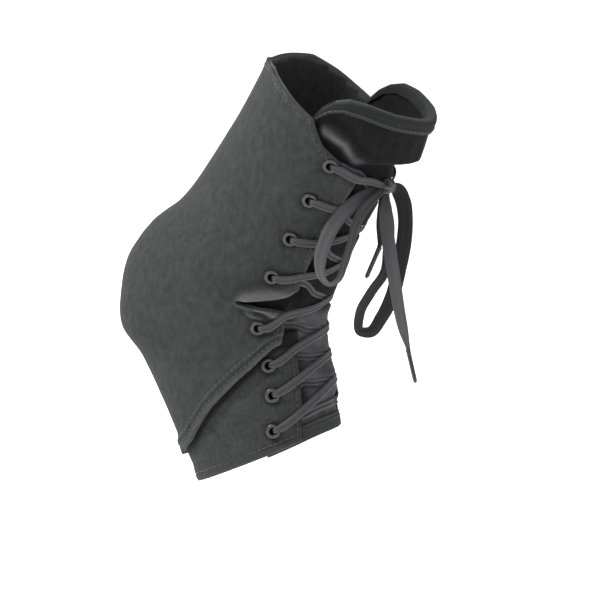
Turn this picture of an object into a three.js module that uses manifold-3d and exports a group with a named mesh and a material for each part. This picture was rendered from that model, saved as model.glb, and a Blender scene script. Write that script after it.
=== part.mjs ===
// A lace-up ankle brace of padded nylon canvas, in the form it has on a foot whose heel is raised.
//
// A closed-heel shell covers the leg and the heel, and its lower hem laps over a forefoot panel that wraps
// the arch. A wide padded tongue lies under the front opening, bound with tape at its top and bottom. Eight
// pairs of one-piece eyelets carry a flat lace, crossed over the tongue and tied in a bow at the top.
//
// Millimetres. +X points the way the toes do, +Y to the wearer's left and +Z up. The origin is the centre
// of the ankle, where the foot sits in the brace. The leg leans forward and the foot points down, so the
// bow's loops and ends hang along -Z.
import * as THREE from 'three';
import { mergeVertices } from 'three/addons/utils/BufferGeometryUtils.js';
import Module from 'manifold-3d';

const wasm = await Module();
wasm.setup();

// The worn form, taken to the outer face of the cloth
const FORM_LENGTH = 190;
const FORM_HEIGHT = 260;
const FORM_WIDTH = 84;
const ANKLE_BONE = 3.5;

// Cloth, and the gap between one layer and the next
const SHELL_CLOTH = 2.4;
const FOREFOOT_CLOTH = 2.2;
const TONGUE_PAD = 3.5;
const GAP = 0.35;
const SLACK = 0.2;

// The shell's hem laps this far over the forefoot panel, partly raised and partly with the panel pressed in,
// and the panel stays pressed in for a way below the hem
const LAP = 7;
const LAP_RAMP = 7;
const PRESSED_BELOW = 9;
const LAP_RISE = (SHELL_CLOTH + GAP) * 0.55;
const LAP_SINK = SHELL_CLOTH + GAP - LAP_RISE;

// The front opening and its notch at the bend of the ankle
const HALF_OPENING = 27.3;
const NOTCH_DEPTH = 32;

// Eyelets, their centres on a line this far round from the middle of the front
const EYELET_LINE = 46;
const EYELET_BORE = 4.4;
const EYELET_TUBE_WALL = 0.5;
const EYELET_FLANGE = 8.6;
const EYELET_FLANGE_THICKNESS = 0.6;
const EYELET_BEVEL = 0.3;
const EYELET_BACK_FLANGE = 6.8;
const EYELET_BACK_THICKNESS = 0.4;

// Lace: how wide it is loose in the bow and drawn tight across the tongue, and how it bunches in an eyelet
const LACE_WIDTH = 8.4;
const LACE_THICKNESS = 1.3;
const LACE_TIGHT_WIDTH = 5;
const LACE_BORE_CLEARANCE = 1.5;
const LACE_BORE_THICKNESS = 1.7;
const KNOT_SIZE = [9, 8, 10];
const KNOT_HEIGHT = 4.2;
const AGLET_LENGTH = 20;
const AGLET_DIAMETER = 3;

// Tongue, its swell between the panels, its flare above the lacing, and the tape round its ends
const TONGUE_HALF_WIDTH = 68;
const TONGUE_SWELL = 2.9;
const TONGUE_SWELL_REACH = 24;
const TONGUE_FLARE = 13;
const TAPE_WIDTH = 6;
const TAPE_THICKNESS = 0.7;

// Layers, as the depth of a middle or a face below the outside of the shell
const LACE_ON_CLOTH = GAP + LACE_THICKNESS / 2 + SLACK;
const LACE_OVER_FLANGE = EYELET_FLANGE_THICKNESS + 2 * GAP + LACE_THICKNESS / 2 + 2 * SLACK;
const LACE_UNDER = -(SHELL_CLOTH + EYELET_BACK_THICKNESS + 2 * GAP + LACE_THICKNESS / 2 + SLACK);
const TONGUE_FACE = LACE_UNDER - LACE_THICKNESS / 2 - GAP - 2 * SLACK;
const LACE_LOWER = TONGUE_FACE + TONGUE_SWELL + LACE_THICKNESS / 2 + 2 * GAP;
const LACE_UPPER = LACE_LOWER + LACE_THICKNESS + 2 * GAP;

const material = (color, roughness) => new THREE.MeshStandardMaterial({ color, roughness, metalness: 0 });
const canvasCloth = material('#4a4b4b', 0.92);
const tongueCloth = material('#3a3a3c', 0.9);
const tapeCloth = material('#4e5251', 0.85);
const laceCotton = material('#6a696d', 0.8);
const enamel = new THREE.MeshStandardMaterial({ color: '#2c2c2f', roughness: 0.4, metalness: 0.6 });
const agletPlastic = material('#2a2a2c', 0.35);

// Cross-sections of the worn form, from above the top edge, down the leg and round the heel to the foot
// opening. x and z are shares of FORM_LENGTH and FORM_HEIGHT, width is a share of FORM_WIDTH, widest is how
// far forward of the back the section is widest, and the powers round it: 2 is an ellipse, more is squarer.
const SECTION_COLUMNS = ['backX', 'backZ', 'frontX', 'frontZ', 'width', 'widest', 'backPower', 'frontPower'];
const SECTIONS = [
  [0.19, 0.602, 0.648, 0.444, 1.14, 0.52, 2.0, 2.0],
  [0.104, 0.502, 0.564, 0.348, 1.08, 0.52, 1.95, 2.0],
  [-0.01, 0.365, 0.484, 0.235, 0.99, 0.53, 1.85, 2.0],
  [-0.122, 0.244, 0.401, 0.125, 0.94, 0.55, 1.8, 2.0],
  [-0.215, 0.161, 0.348, 0.052, 0.95, 0.58, 1.8, 2.0],
  [-0.322, 0.1, 0.314, -0.003, 0.97, 0.6, 1.85, 2.0],
  [-0.401, 0.021, 0.293, -0.042, 0.97, 0.6, 1.95, 2.0],
  [-0.428, -0.063, 0.282, -0.071, 0.94, 0.58, 2.1, 2.0],
  [-0.422, -0.146, 0.279, -0.1, 0.92, 0.55, 2.25, 2.0],
  [-0.343, -0.212, 0.279, -0.128, 0.91, 0.5, 2.4, 2.0],
  [-0.268, -0.306, 0.282, -0.158, 0.91, 0.46, 2.5, 1.95],
  [-0.214, -0.378, 0.293, -0.198, 0.92, 0.43, 2.6, 1.95],
  [-0.171, -0.442, 0.31, -0.251, 0.93, 0.42, 2.6, 1.95],
  [-0.122, -0.5, 0.335, -0.348, 0.94, 0.42, 2.6, 2.0],
];
const LAST_SECTION = SECTIONS.length - 1;

// Where the ankle bones push the cloth out: section, share of the half girth from the front, and spread
const BONE = { section: 5.2, round: 0.52, spreadSection: 1.1, spreadRound: 0.13 };

// Edges of the panels, each a list of [share of the way round from the front edge to the back, section]
const TOP_EDGE = [[0, 2], [0.13, 1.76], [0.24, 1.6], [0.3, 1.42], [0.345, 1.25], [0.48, 1.13], [0.58, 1.03],
  [0.735, 0.92], [0.87, 0.98], [1, 1.06]];
const SHELL_HEM = [[0, 9], [0.03, 9.1], [0.083, 9.46], [0.155, 9.86], [0.3, 10.38], [0.448, 10.87],
  [0.624, 11.6], [0.8, 11.9], [1, 12]];
const FOOT_EDGE = 12.87;

// Half the width of the opening, as [section, share of HALF_OPENING]
const SHELL_FRONT = [[2, 0.96], [2.7, 1], [3.5, 1.03], [4.8, 1.05], [5.3, 1.03], [7, 1.14], [8, 1.13],
  [9, 1.2]];
const FOREFOOT_FRONT = [[7.5, 0.78], [9, 0.83], [10.9, 0.88], [12.1, 1], [12.87, 1.14]];

// The notch, as [section, share of NOTCH_DEPTH behind the front edge], with its mouth clear of the edge
const NOTCH = [[5.1, -0.3], [5.35, 0.05], [5.65, 0.2], [5.92, 0.35], [6.08, 0.58], [6.2, 0.82], [6.3, 0.97],
  [6.42, 1], [6.5, 0.95], [6.6, 0.8], [6.68, 0.56], [6.82, 0.32], [7, 0.12], [7.1, -0.3]];

// Each row of eyelets from the top: its section, its share of EYELET_LINE, and the section where its lace
// crosses the front edge
const EYELETS = [
  { section: 1.86, line: 0.985, crosses: 1.98 },
  { section: 2.56, line: 1, crosses: 2.6 },
  { section: 3.52, line: 0.99, crosses: 3.45 },
  { section: 4.96, line: 1.01, crosses: 4.73 },
  { section: 7.81, line: 1.01, crosses: 7.15 },
  { section: 9.98, line: 0.9, crosses: 9.5 },
  { section: 11.3, line: 0.94, crosses: 11.08 },
  { section: 12.36, line: 1.03, crosses: 12.23 },
];
const SHELL_ROWS = 5;

// The tongue's top across its half width: [share of it, section of the rim, section of the crease under the
// flare, share of TONGUE_FLARE]. Its half width narrows toward the foot, as [section, share].
const TONGUE_TOP = [
  [0, 0.68, 1.68, 1],
  [0.37, 0.68, 1.78, 0.93],
  [0.5, 0.68, 1.7, 0.65],
  [0.64, 0.68, 1.5, 0.44],
  [0.8, 0.73, 1.42, 0.24],
  [0.9, 0.86, 1.41, 0.08],
  [0.965, 1.05, 1.4, 0],
  [1, 1.3, 1.4, 0],
];
const TONGUE_TAPER = [[6.5, 1], [9, 0.86], [12.87, 0.8]];
const FLARE_HEIGHT = 0.28;
const FLARE_LOSS = 0.4;

// The bow, in millimetres from the middle of the knot. Each point of the lace is [x, y, z, share of
// LACE_WIDTH, degrees turned about its length], and an aglet is its two ends
const BOW = {
  loopRight: [
    [-5, -5, -1, 0.45, 10], [-8.5, -12, -4, 0.85, 5], [-15.5, -19.5, -10.5, 1, 5],
    [-21.5, -25, -18.5, 1, 10], [-26, -30, -30, 1, 15], [-28, -33, -41.5, 0.95, 30],
    [-26.5, -33.5, -50, 0.9, 55], [-21.5, -33, -54, 0.9, 70], [-17.5, -31, -51.5, 0.9, 65],
    [-15, -28.5, -43.5, 0.9, 55], [-12.5, -25, -32, 0.9, 55], [-11, -21, -21, 0.95, 50],
    [-8, -16, -12, 0.85, 35], [-4.5, -12.5, -7, 0.7, 25], [-2, -7.5, -3.5, 0.45, 15],
  ],
  loopLeft: [
    [-1, 9.5, -1.5, 0.5, 0], [1, 13, -3.5, 0.9, 10], [4, 15.5, -10.5, 1, 15], [5, 15.5, -22, 1, 10],
    [5.5, 14, -35, 1, 10], [4, 11, -50, 1, 10], [1.5, 6, -65, 0.95, 15], [-3.5, 0, -78.5, 0.95, 20],
    [-8.5, -5, -86.5, 0.95, 30], [-13, -9, -85.5, 0.95, 40], [-13.5, -8.5, -75.5, 0.95, 25],
    [-11, -5.5, -63, 0.95, 15], [-7, -1.5, -51, 0.95, 15], [-3.5, 3.5, -38, 0.95, 15],
    [-3, 6.5, -22.5, 0.9, 10], [-4, 7.5, -11.5, 0.6, 5], [-4, 7.5, -7, 0.45, 5],
  ],
  endLong: [
    [-0.5, -1.5, -5.5, 0.5, 0], [0.5, -4, -13, 0.9, 0], [2.5, -6, -26, 1, 0], [6, -8.5, -40.5, 1, 0],
    [9.5, -10.5, -55, 0.95, 5], [12.5, -11.5, -69, 0.85, 10], [16, -12.5, -82, 0.7, 20],
    [19, -13, -91.5, 0.36, 30],
  ],
  agletLong: [
    [19, -13, -92.5], [24.5, -14, -112],
  ],
  endShort: [
    [-4, 3, -5.5, 0.5, 0], [-3, 1.5, -13.5, 0.85, 0], [-3, -0.5, -22.5, 0.85, 0],
    [-3, -2, -30.5, 0.6, 10], [-3.5, -3, -34.5, 0.34, 20],
  ],
  agletShort: [
    [-3.5, -3, -35.5], [-8, -8, -49.5],
  ],
};
// The way the hanging lace faces, and the knot's middle as its section and its distance round
const BOW_FACE = [0.4, -0.9, 0.2];
const KNOT_AT = [2.02, -5];

const SIDES = [['right', -1], ['left', 1]];

const clamp = (x, low, high) => Math.min(high, Math.max(low, x));
const mix = (a, b, t) => a + (b - a) * t;
const smooth = (t) => clamp(t, 0, 1) ** 2 * (3 - 2 * clamp(t, 0, 1));

// A value from one column of a list whose first column is the place
function along(list, place, column = 1) {
  const next = list.findIndex(([x]) => x >= place);
  if (next === 0) return list[0][column];
  if (next < 0) return list.at(-1)[column];
  const [before, after] = [list[next - 1], list[next]];
  return mix(before[column], after[column], (place - before[0]) / (after[0] - before[0]));
}

// The table's row at any place between its sections, on a smooth curve through them
function sectionAt(place) {
  const at = clamp(place, 0, LAST_SECTION);
  const i = Math.min(LAST_SECTION - 1, Math.floor(at));
  const t = at - i;
  const row = (k) => SECTIONS[clamp(k, 0, LAST_SECTION)];
  const [a, b, c, d] = [row(i - 1), row(i), row(i + 1), row(i + 2)];
  const values = b.map((_, k) => 0.5 * (2 * b[k] + (c[k] - a[k]) * t
    + (2 * a[k] - 5 * b[k] + 4 * c[k] - d[k]) * t ** 2 + (3 * b[k] - a[k] - 3 * c[k] + d[k]) * t ** 3));
  return Object.fromEntries(SECTION_COLUMNS.map((name, k) => [name, values[k]]));
}

// One side of a section as points from the front to the back, with the length along it at each point
const RING_STEPS = 120;
const rings = new Map();
function halfRing(place) {
  const key = Math.round(place * 1e5);
  if (rings.has(key)) return rings.get(key);
  const s = sectionAt(place);
  const back = new THREE.Vector3(s.backX * FORM_LENGTH, 0, s.backZ * FORM_HEIGHT);
  const front = new THREE.Vector3(s.frontX * FORM_LENGTH, 0, s.frontZ * FORM_HEIGHT);
  const middle = back.clone().lerp(front, s.widest);
  const halfWidth = s.width * FORM_WIDTH / 2;
  const points = [];
  const lengths = [0];
  for (let i = 0; i <= RING_STEPS; i++) {
    const angle = Math.PI * i / RING_STEPS;
    const power = 2 / (angle < Math.PI / 2 ? s.frontPower : s.backPower);
    const reach = Math.abs(Math.cos(angle)) ** power;
    const point = middle.clone().lerp(angle < Math.PI / 2 ? front : back, reach);
    point.y = halfWidth * Math.abs(Math.sin(angle)) ** power;
    if (i) lengths.push(lengths.at(-1) + point.distanceTo(points.at(-1)));
    points.push(point);
  }
  const ring = { points, lengths, girth: lengths.at(-1) };
  rings.set(key, ring);
  return ring;
}

const halfGirth = (place) => halfRing(place).girth;

// A point of the skin: section, and distance round from the front, negative on the wearer's right
function skin(place, round) {
  const { points, lengths, girth } = halfRing(clamp(place, 0, LAST_SECTION));
  const wrapped = round > girth ? round - 2 * girth : round < -girth ? round + 2 * girth : round;
  const distance = Math.abs(wrapped);
  const next = clamp(lengths.findIndex((x) => x >= distance), 1, RING_STEPS);
  const t = (distance - lengths[next - 1]) / (lengths[next] - lengths[next - 1]);
  const point = points[next - 1].clone().lerp(points[next], t);
  if (wrapped < 0) point.y = -point.y;
  return point;
}

// Steps for measuring slopes: a share of a section, and millimetres round
const PROBE = 0.05;
const PROBE_ROUND = 1.5;
function normalAt(place, round) {
  const down = skin(place + PROBE, round).sub(skin(place - PROBE, round));
  const across = skin(place, round + PROBE_ROUND).sub(skin(place, round - PROBE_ROUND));
  return down.cross(across).normalize();
}

function boneBulge(place, round) {
  const dSection = (place - BONE.section) / BONE.spreadSection;
  const dRound = (Math.abs(round) / halfGirth(place) - BONE.round) / BONE.spreadRound;
  return ANKLE_BONE * Math.exp(-(dSection ** 2) - dRound ** 2);
}

// A point a distance off the skin, outwards if positive
function off(place, round, distance) {
  const lift = distance + boneBulge(place, round);
  return skin(place, round).addScaledVector(normalAt(place, round), lift);
}

// A closed sheet between an outer and an inner face, each a grid of points, with the four rims between them
function sheetGeometry(outer, inner) {
  const rows = outer.length;
  const columns = outer[0].length;
  const index = [];
  const at = (face, i, j) => (face * rows + i) * columns + j;
  const quad = (a, b, c, d) => index.push(a, b, c, a, c, d);
  for (let i = 0; i + 1 < rows; i++) {
    for (let j = 0; j + 1 < columns; j++) {
      quad(at(0, i, j), at(0, i + 1, j), at(0, i + 1, j + 1), at(0, i, j + 1));
      quad(at(1, i, j), at(1, i, j + 1), at(1, i + 1, j + 1), at(1, i + 1, j));
    }
    quad(at(0, i, 0), at(1, i, 0), at(1, i + 1, 0), at(0, i + 1, 0));
    quad(at(0, i, columns - 1), at(0, i + 1, columns - 1), at(1, i + 1, columns - 1), at(1, i, columns - 1));
  }
  for (let j = 0; j + 1 < columns; j++) {
    quad(at(0, 0, j), at(0, 0, j + 1), at(1, 0, j + 1), at(1, 0, j));
    quad(at(0, rows - 1, j), at(1, rows - 1, j), at(1, rows - 1, j + 1), at(0, rows - 1, j + 1));
  }
  const positions = [...outer, ...inner].flat().flatMap((p) => p.toArray());
  return new THREE.BufferGeometry()
    .setAttribute('position', new THREE.Float32BufferAttribute(positions, 3))
    .setIndex(index);
}

// A closed body through rings of points, with its two ends closed by fans
function loftGeometry(sections) {
  const sides = sections[0].length;
  const index = [];
  sections.slice(1).forEach((_, i) => {
    for (let j = 0; j < sides; j++) {
      const k = (j + 1) % sides;
      const [a, b, c, d] = [i * sides + j, i * sides + k, (i + 1) * sides + k, (i + 1) * sides + j];
      index.push(a, b, c, a, c, d);
    }
  });
  const last = (sections.length - 1) * sides;
  for (let j = 1; j + 1 < sides; j++) index.push(0, j + 1, j, last, last + j, last + j + 1);
  const positions = sections.flat().flatMap((p) => p.toArray());
  return new THREE.BufferGeometry()
    .setAttribute('position', new THREE.Float32BufferAttribute(positions, 3))
    .setIndex(index);
}

function solid(geometry) {
  const bare = geometry.clone();
  bare.deleteAttribute('normal');
  bare.deleteAttribute('uv');
  const merged = mergeVertices(bare, 1e-4);
  return new wasm.Manifold(new wasm.Mesh({
    numProp: 3,
    vertProperties: merged.attributes.position.array,
    triVerts: new Uint32Array(merged.index.array),
  }));
}

function geometryOf(body) {
  const { vertProperties, triVerts, numProp } = body.getMesh();
  const positions = [];
  for (let i = 0; i < vertProperties.length; i += numProp) positions.push(...vertProperties.slice(i, i + 3));
  return new THREE.BufferGeometry()
    .setAttribute('position', new THREE.Float32BufferAttribute(positions, 3))
    .setIndex([...triVerts]);
}

const brace = new THREE.Group();
function addPart(name, geometry, finish) {
  const mesh = new THREE.Mesh(geometry, finish);
  mesh.name = name;
  mesh.geometry.computeVertexNormals();
  brace.add(mesh);
}

// Millimetres of cloth to one section
const sectionLength = (place, round) =>
  skin(place + PROBE, round).distanceTo(skin(place - PROBE, round)) / (2 * PROBE);

const shellFront = (place) => HALF_OPENING * along(SHELL_FRONT, place);
const forefootFront = (place) => HALF_OPENING * along(FOREFOOT_FRONT, place);

// How far a place lies above the shell's hem
function aboveHem(place, round) {
  const front = shellFront(place);
  const share = clamp((Math.abs(round) - front) / (halfGirth(place) - front), 0, 1);
  return (along(SHELL_HEM, share) - place) * sectionLength(place, round);
}

const shellRise = (place, round) => LAP_RISE * smooth(1 - (aboveHem(place, round) - LAP) / LAP_RAMP);
const forefootRise = (place, round) =>
  -LAP_SINK * smooth(1 + (aboveHem(place, round) + PRESSED_BELOW) / LAP_RAMP);

// The panels' grids. Rows run down, and columns run from the wearer's left front edge round the back to the
// right one. Both panels have the same columns where they lap, so that the gap between them is even.
const HALF_COLUMNS = 12;
const COLUMN_CROWDING = 1.2;
const FRONT_COLUMNS = [-0.09, -0.045];
const SHELL_UPPER_ROWS = 11;
const FOREFOOT_LOWER_ROWS = 3;
const backColumns = Array.from({ length: HALF_COLUMNS + 1 }, (_, i) =>
  (i / HALF_COLUMNS) ** COLUMN_CROWDING);
const bothSides = (shares) => [
  ...shares.map((share) => [1, share]),
  ...shares.slice(0, -1).reverse().map((share) => [-1, share]),
];

// The section that lies a distance above the hem
function placeAboveHem(share, distance) {
  const hem = along(SHELL_HEM, share);
  return hem - distance / sectionLength(hem, mix(shellFront(hem), halfGirth(hem), Math.max(share, 0)));
}

function shellColumn([side, share]) {
  const top = along(TOP_EDGE, share);
  const rampTop = placeAboveHem(share, LAP + LAP_RAMP);
  const upper = Array.from({ length: SHELL_UPPER_ROWS }, (_, i) =>
    mix(top, rampTop, i / SHELL_UPPER_ROWS));
  const lower = [LAP + LAP_RAMP, LAP + LAP_RAMP / 2, LAP, 0].map((distance) =>
    placeAboveHem(share, distance));
  return [...upper, ...lower].map((place) =>
    [place, side * mix(shellFront(place), halfGirth(place), share), shellRise]);
}

function forefootColumn([side, share]) {
  const pressed = [LAP, 0, -PRESSED_BELOW, -PRESSED_BELOW - LAP_RAMP / 2, -PRESSED_BELOW - LAP_RAMP]
    .map((distance) => placeAboveHem(share, distance));
  const lower = Array.from({ length: FOREFOOT_LOWER_ROWS }, (_, i) =>
    mix(pressed.at(-1), FOOT_EDGE, (i + 1) / FOREFOOT_LOWER_ROWS));
  const forward = Math.min(share, 0) / FRONT_COLUMNS[0];
  return [...pressed, ...lower].map((place) => {
    const front = mix(shellFront(place), forefootFront(place), forward);
    return [place, side * mix(front, halfGirth(place), Math.max(share, 0)), forefootRise];
  });
}

const AXIS_Y = new THREE.Vector3(0, 1, 0);
const turnTo = (direction) => new THREE.Quaternion().setFromUnitVectors(AXIS_Y, direction);

// The middle of an eyelet on its panel, the panel's normal there, and how far the cloth under its flange
// stands proud of that middle
const RIM_TURNS = [0, 45, 90, 135, 180, 225, 270, 315].map(THREE.MathUtils.degToRad);
const PROUD_MARGIN = 1.4;
function eyeletAt(row, side) {
  const { section, line } = EYELETS[row];
  const round = side * line * EYELET_LINE;
  const rise = row < SHELL_ROWS ? shellRise : forefootRise;
  const reach = EYELET_FLANGE / 2;
  const surface = (down, across) => {
    const at = [section + down * reach / sectionLength(section, round), round + across * reach];
    return off(...at, rise(...at));
  };
  const point = surface(0, 0);
  const slope = surface(1, 0).sub(surface(-1, 0));
  const normal = slope.cross(surface(0, 1).sub(surface(0, -1))).normalize();
  const heights = RIM_TURNS.map((a) => surface(Math.cos(a), Math.sin(a)).sub(point).dot(normal));
  return { section, round, rise, point, normal, proud: PROUD_MARGIN * Math.max(0, ...heights) };
}

const EYELET_SIDES = 8;
const HOLE_REACH = 12;
function eyeletHole(row, side) {
  const { point, normal } = eyeletAt(row, side);
  const radius = EYELET_BORE / 2 + EYELET_TUBE_WALL + GAP;
  const cutter = new THREE.CylinderGeometry(radius, radius, HOLE_REACH, EYELET_SIDES);
  cutter.applyQuaternion(turnTo(normal)).translate(...point.toArray());
  return solid(cutter);
}

const NOTCH_REACH = 9;
function notchCutter(side) {
  const layer = (depth) => NOTCH.map(([place, share]) =>
    off(place, side * (shellFront(place) + share * NOTCH_DEPTH), depth));
  const layers = [layer(-NOTCH_REACH), layer(NOTCH_REACH)];
  return solid(loftGeometry(side < 0 ? layers : layers.map((points) => [...points].reverse())));
}

function panel(columns, thickness, cutters) {
  const face = (depth) => columns[0].map((_, row) => columns.map((column) => {
    const [place, round, rise] = column[row];
    return off(place, round, rise(place, round) + depth);
  }));
  const sheet = solid(sheetGeometry(face(0), face(-thickness)));
  return geometryOf(cutters.reduce((body, cutter) => body.subtract(cutter), sheet));
}

const holesOf = (rows) => rows.flatMap((row) => SIDES.map(([, side]) => eyeletHole(row, side)));
const allRows = EYELETS.map((_, row) => row);
const shellCutters = [...holesOf(allRows.slice(0, SHELL_ROWS)), notchCutter(-1), notchCutter(1)];
addPart('shell', panel(bothSides(backColumns).map(shellColumn), SHELL_CLOTH, shellCutters), canvasCloth);

const forefootColumns = bothSides([...FRONT_COLUMNS, ...backColumns]).map(forefootColumn);
const forefootCutters = holesOf(allRows.slice(SHELL_ROWS));
addPart('forefoot_panel', panel(forefootColumns, FOREFOOT_CLOTH, forefootCutters), canvasCloth);

// Tongue: it lies deeper where the forefoot panel is pressed in, and swells between the panels
const BED = [[7, 0], [7.7, 1], [10.9, 1], [11.7, 0]];
const bed = (place) => LAP_SINK * along(BED, place);
const TONGUE_COLUMNS = 8;
const TONGUE_CROWDING = 1.15;
const TONGUE_LOWER_ROWS = 10;
const ROW_CROWDING = 1.2;
const LEAST_ROW = 0.04;
const tongueShares = Array.from({ length: 2 * TONGUE_COLUMNS + 1 }, (_, j) => {
  const across = (j - TONGUE_COLUMNS) / TONGUE_COLUMNS;
  return Math.sign(across) * (1 - (1 - Math.abs(across)) ** TONGUE_CROWDING);
});

const tongueHalf = (place) => TONGUE_HALF_WIDTH * along(TONGUE_TAPER, place);
const tongueRim = (share) => along(TONGUE_TOP, Math.abs(share), 1);
const tongueCrease = (share) => along(TONGUE_TOP, Math.abs(share), 2);
const tongueFlare = (share) => TONGUE_FLARE * along(TONGUE_TOP, Math.abs(share), 3);
const TONGUE_END = FOOT_EDGE + 0.02;

function tonguePoint(place, share, depth) {
  const round = share * tongueHalf(place);
  const swell = TONGUE_SWELL * (1 - smooth(Math.abs(round) / TONGUE_SWELL_REACH));
  const above = tongueCrease(share) - place;
  const fall = 1 - FLARE_LOSS * clamp(above / (tongueCrease(share) - tongueRim(share)), 0, 1);
  const shellInside = -SHELL_CLOTH - GAP - SLACK;
  const flared = (tongueFlare(share) * fall + shellInside - TONGUE_FACE) * smooth(above / FLARE_HEIGHT);
  return off(place, round, TONGUE_FACE - bed(place) + swell + flared + depth);
}

const fromEnd = (end, share, distance) => end + distance / sectionLength(end, share * tongueHalf(end));
function tongueColumn(share, depth) {
  const crease = tongueCrease(share);
  const start = crease + LEAST_ROW;
  const last = fromEnd(TONGUE_END, share, -TAPE_WIDTH);
  const lower = Array.from({ length: TONGUE_LOWER_ROWS }, (_, i) =>
    mix(start, last, ((i + 1) / TONGUE_LOWER_ROWS) ** ROW_CROWDING));
  const places = [tongueRim(share), fromEnd(tongueRim(share), share, TAPE_WIDTH)];
  [crease - FLARE_HEIGHT, crease - FLARE_HEIGHT / 2, start, ...lower, TONGUE_END].forEach((place) =>
    places.push(Math.max(place, places.at(-1) + LEAST_ROW)));
  return places.map((place) => tonguePoint(place, share, depth));
}

function tongueFace(depth) {
  const columns = tongueShares.map((share) => tongueColumn(share, depth));
  return columns[0].map((_, row) => columns.map((column) => column[row]));
}
addPart('tongue', sheetGeometry(tongueFace(0), tongueFace(-TONGUE_PAD)), tongueCloth);

const TAPE_LIFT = GAP + 1.5 * SLACK;
// A tape folded over one end of the tongue: four rows from its outer edge over the fold to its inner edge
function binding(name, endOf, way) {
  const row = (distance, depth) => tongueShares.map((share) =>
    tonguePoint(fromEnd(endOf(share), share, way * distance), share, depth));
  const rows = (lift) => [
    row(TAPE_WIDTH, lift),
    row(-lift, lift),
    row(-lift, -TONGUE_PAD - lift),
    row(TAPE_WIDTH, -TONGUE_PAD - lift),
  ];
  const inner = rows(TAPE_LIFT);
  const outer = rows(TAPE_LIFT + TAPE_THICKNESS);
  addPart(name, way > 0 ? sheetGeometry(inner, outer) : sheetGeometry(outer, inner), tapeCloth);
}
binding('tongue_binding_top', tongueRim, 1);
binding('tongue_binding_bottom', () => TONGUE_END, -1);

// Eyelets: each is one turned piece, its tube through the cloth and its back rolled out
function eyelet(row, side, name) {
  const { point, normal, proud } = eyeletAt(row, side);
  const bore = EYELET_BORE / 2;
  const tube = bore + EYELET_TUBE_WALL;
  const seat = GAP + SLACK + proud;
  const top = seat + EYELET_FLANGE_THICKNESS;
  const back = -SHELL_CLOTH - GAP;
  const profile = [
    [bore, back - EYELET_BACK_THICKNESS],
    [EYELET_BACK_FLANGE / 2, back - EYELET_BACK_THICKNESS],
    [EYELET_BACK_FLANGE / 2, back],
    [tube, back],
    [tube, seat],
    [EYELET_FLANGE / 2, seat],
    [EYELET_FLANGE / 2 - EYELET_BEVEL, top],
    [bore, top],
  ].map(([x, y]) => new THREE.Vector2(x, y));
  const ring = new THREE.LatheGeometry([...profile, profile[0]], EYELET_SIDES);
  ring.applyQuaternion(turnTo(normal)).translate(...point.toArray());
  addPart(name, geometryOf(solid(ring)), enamel);
}
allRows.forEach((row) => SIDES.forEach(([word, side]) => eyelet(row, side, `eyelet_${word}_${row + 1}`)));

// Lace: a rounded flat section, width then thickness, swept along its stations
const LACE_SECTION = [[1, 0.4], [0.72, 1], [-0.72, 1], [-1, 0.4], [-1, -0.4], [-0.72, -1], [0.72, -1],
  [1, -0.4]];
function laceGeometry(stations) {
  const sections = stations.map(({ point, across, width, thickness }, i) => {
    const before = stations[Math.max(i - 1, 0)].point;
    const after = stations[Math.min(i + 1, stations.length - 1)].point;
    const tangent = after.clone().sub(before).normalize();
    const wide = across.clone().addScaledVector(tangent, -across.dot(tangent)).normalize();
    const thick = tangent.clone().cross(wide);
    return LACE_SECTION.map(([u, v]) => point.clone()
      .addScaledVector(wide, u * width / 2).addScaledVector(thick, v * thickness / 2));
  });
  return loftGeometry(sections);
}

const alongLacing = (place, round) => skin(place + PROBE, round).sub(skin(place - PROBE, round)).normalize();

// One station of the lace: wide is 0 bunched up in an eyelet and 1 drawn tight on the cloth
function laceStation(place, round, depth, wide) {
  return {
    point: off(place, round, depth),
    across: alongLacing(place, round),
    width: mix(EYELET_BORE - LACE_BORE_CLEARANCE, LACE_TIGHT_WIDTH, wide),
    thickness: mix(LACE_BORE_THICKNESS, LACE_THICKNESS, wide),
  };
}

// Through an eyelet from beneath: [distance toward the middle of the front, depth, wide]
const THREADING_UNDER = [[5.8, LACE_UNDER, 0.9], [2.6, LACE_UNDER - 0.15, 0.5],
  [0.2, LACE_UNDER + 0.95, 0.05]];
const THREADING_OVER = [[0, 0.6, 0], [0.9, LACE_OVER_FLANGE - 0.3, 0.2], [4.6, LACE_OVER_FLANGE, 0.85]];
function threaded(row, side) {
  const { section, round, rise, proud } = eyeletAt(row, side);
  const station = ([inward, depth, wide], liftAt) => {
    const at = round - side * inward;
    return laceStation(section, at, depth + liftAt(at), wide);
  };
  return [
    ...THREADING_UNDER.map((step) => station(step, (at) => Math.min(-bed(section), rise(section, at)))),
    ...THREADING_OVER.map((step) => station(step, (at) => rise(section, at) + proud)),
  ];
}

// Across the tongue: [share of the half opening from its own side, then for the right and for the left strand
// how far it is from its level toward the cloth above if positive, or toward the lace beneath if negative]
const CROSSING = [[0.52, 0.6, 0], [0.2, 0, 0], [-0.2, 0, 0], [-0.5, -0.12, -0.42]];
const DIVE = 21;
const UNDER_PANEL = 31;
const levelFrom = (level, share) => mix(level, share > 0 ? LACE_ON_CLOTH : LACE_UNDER, Math.abs(share));

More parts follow.
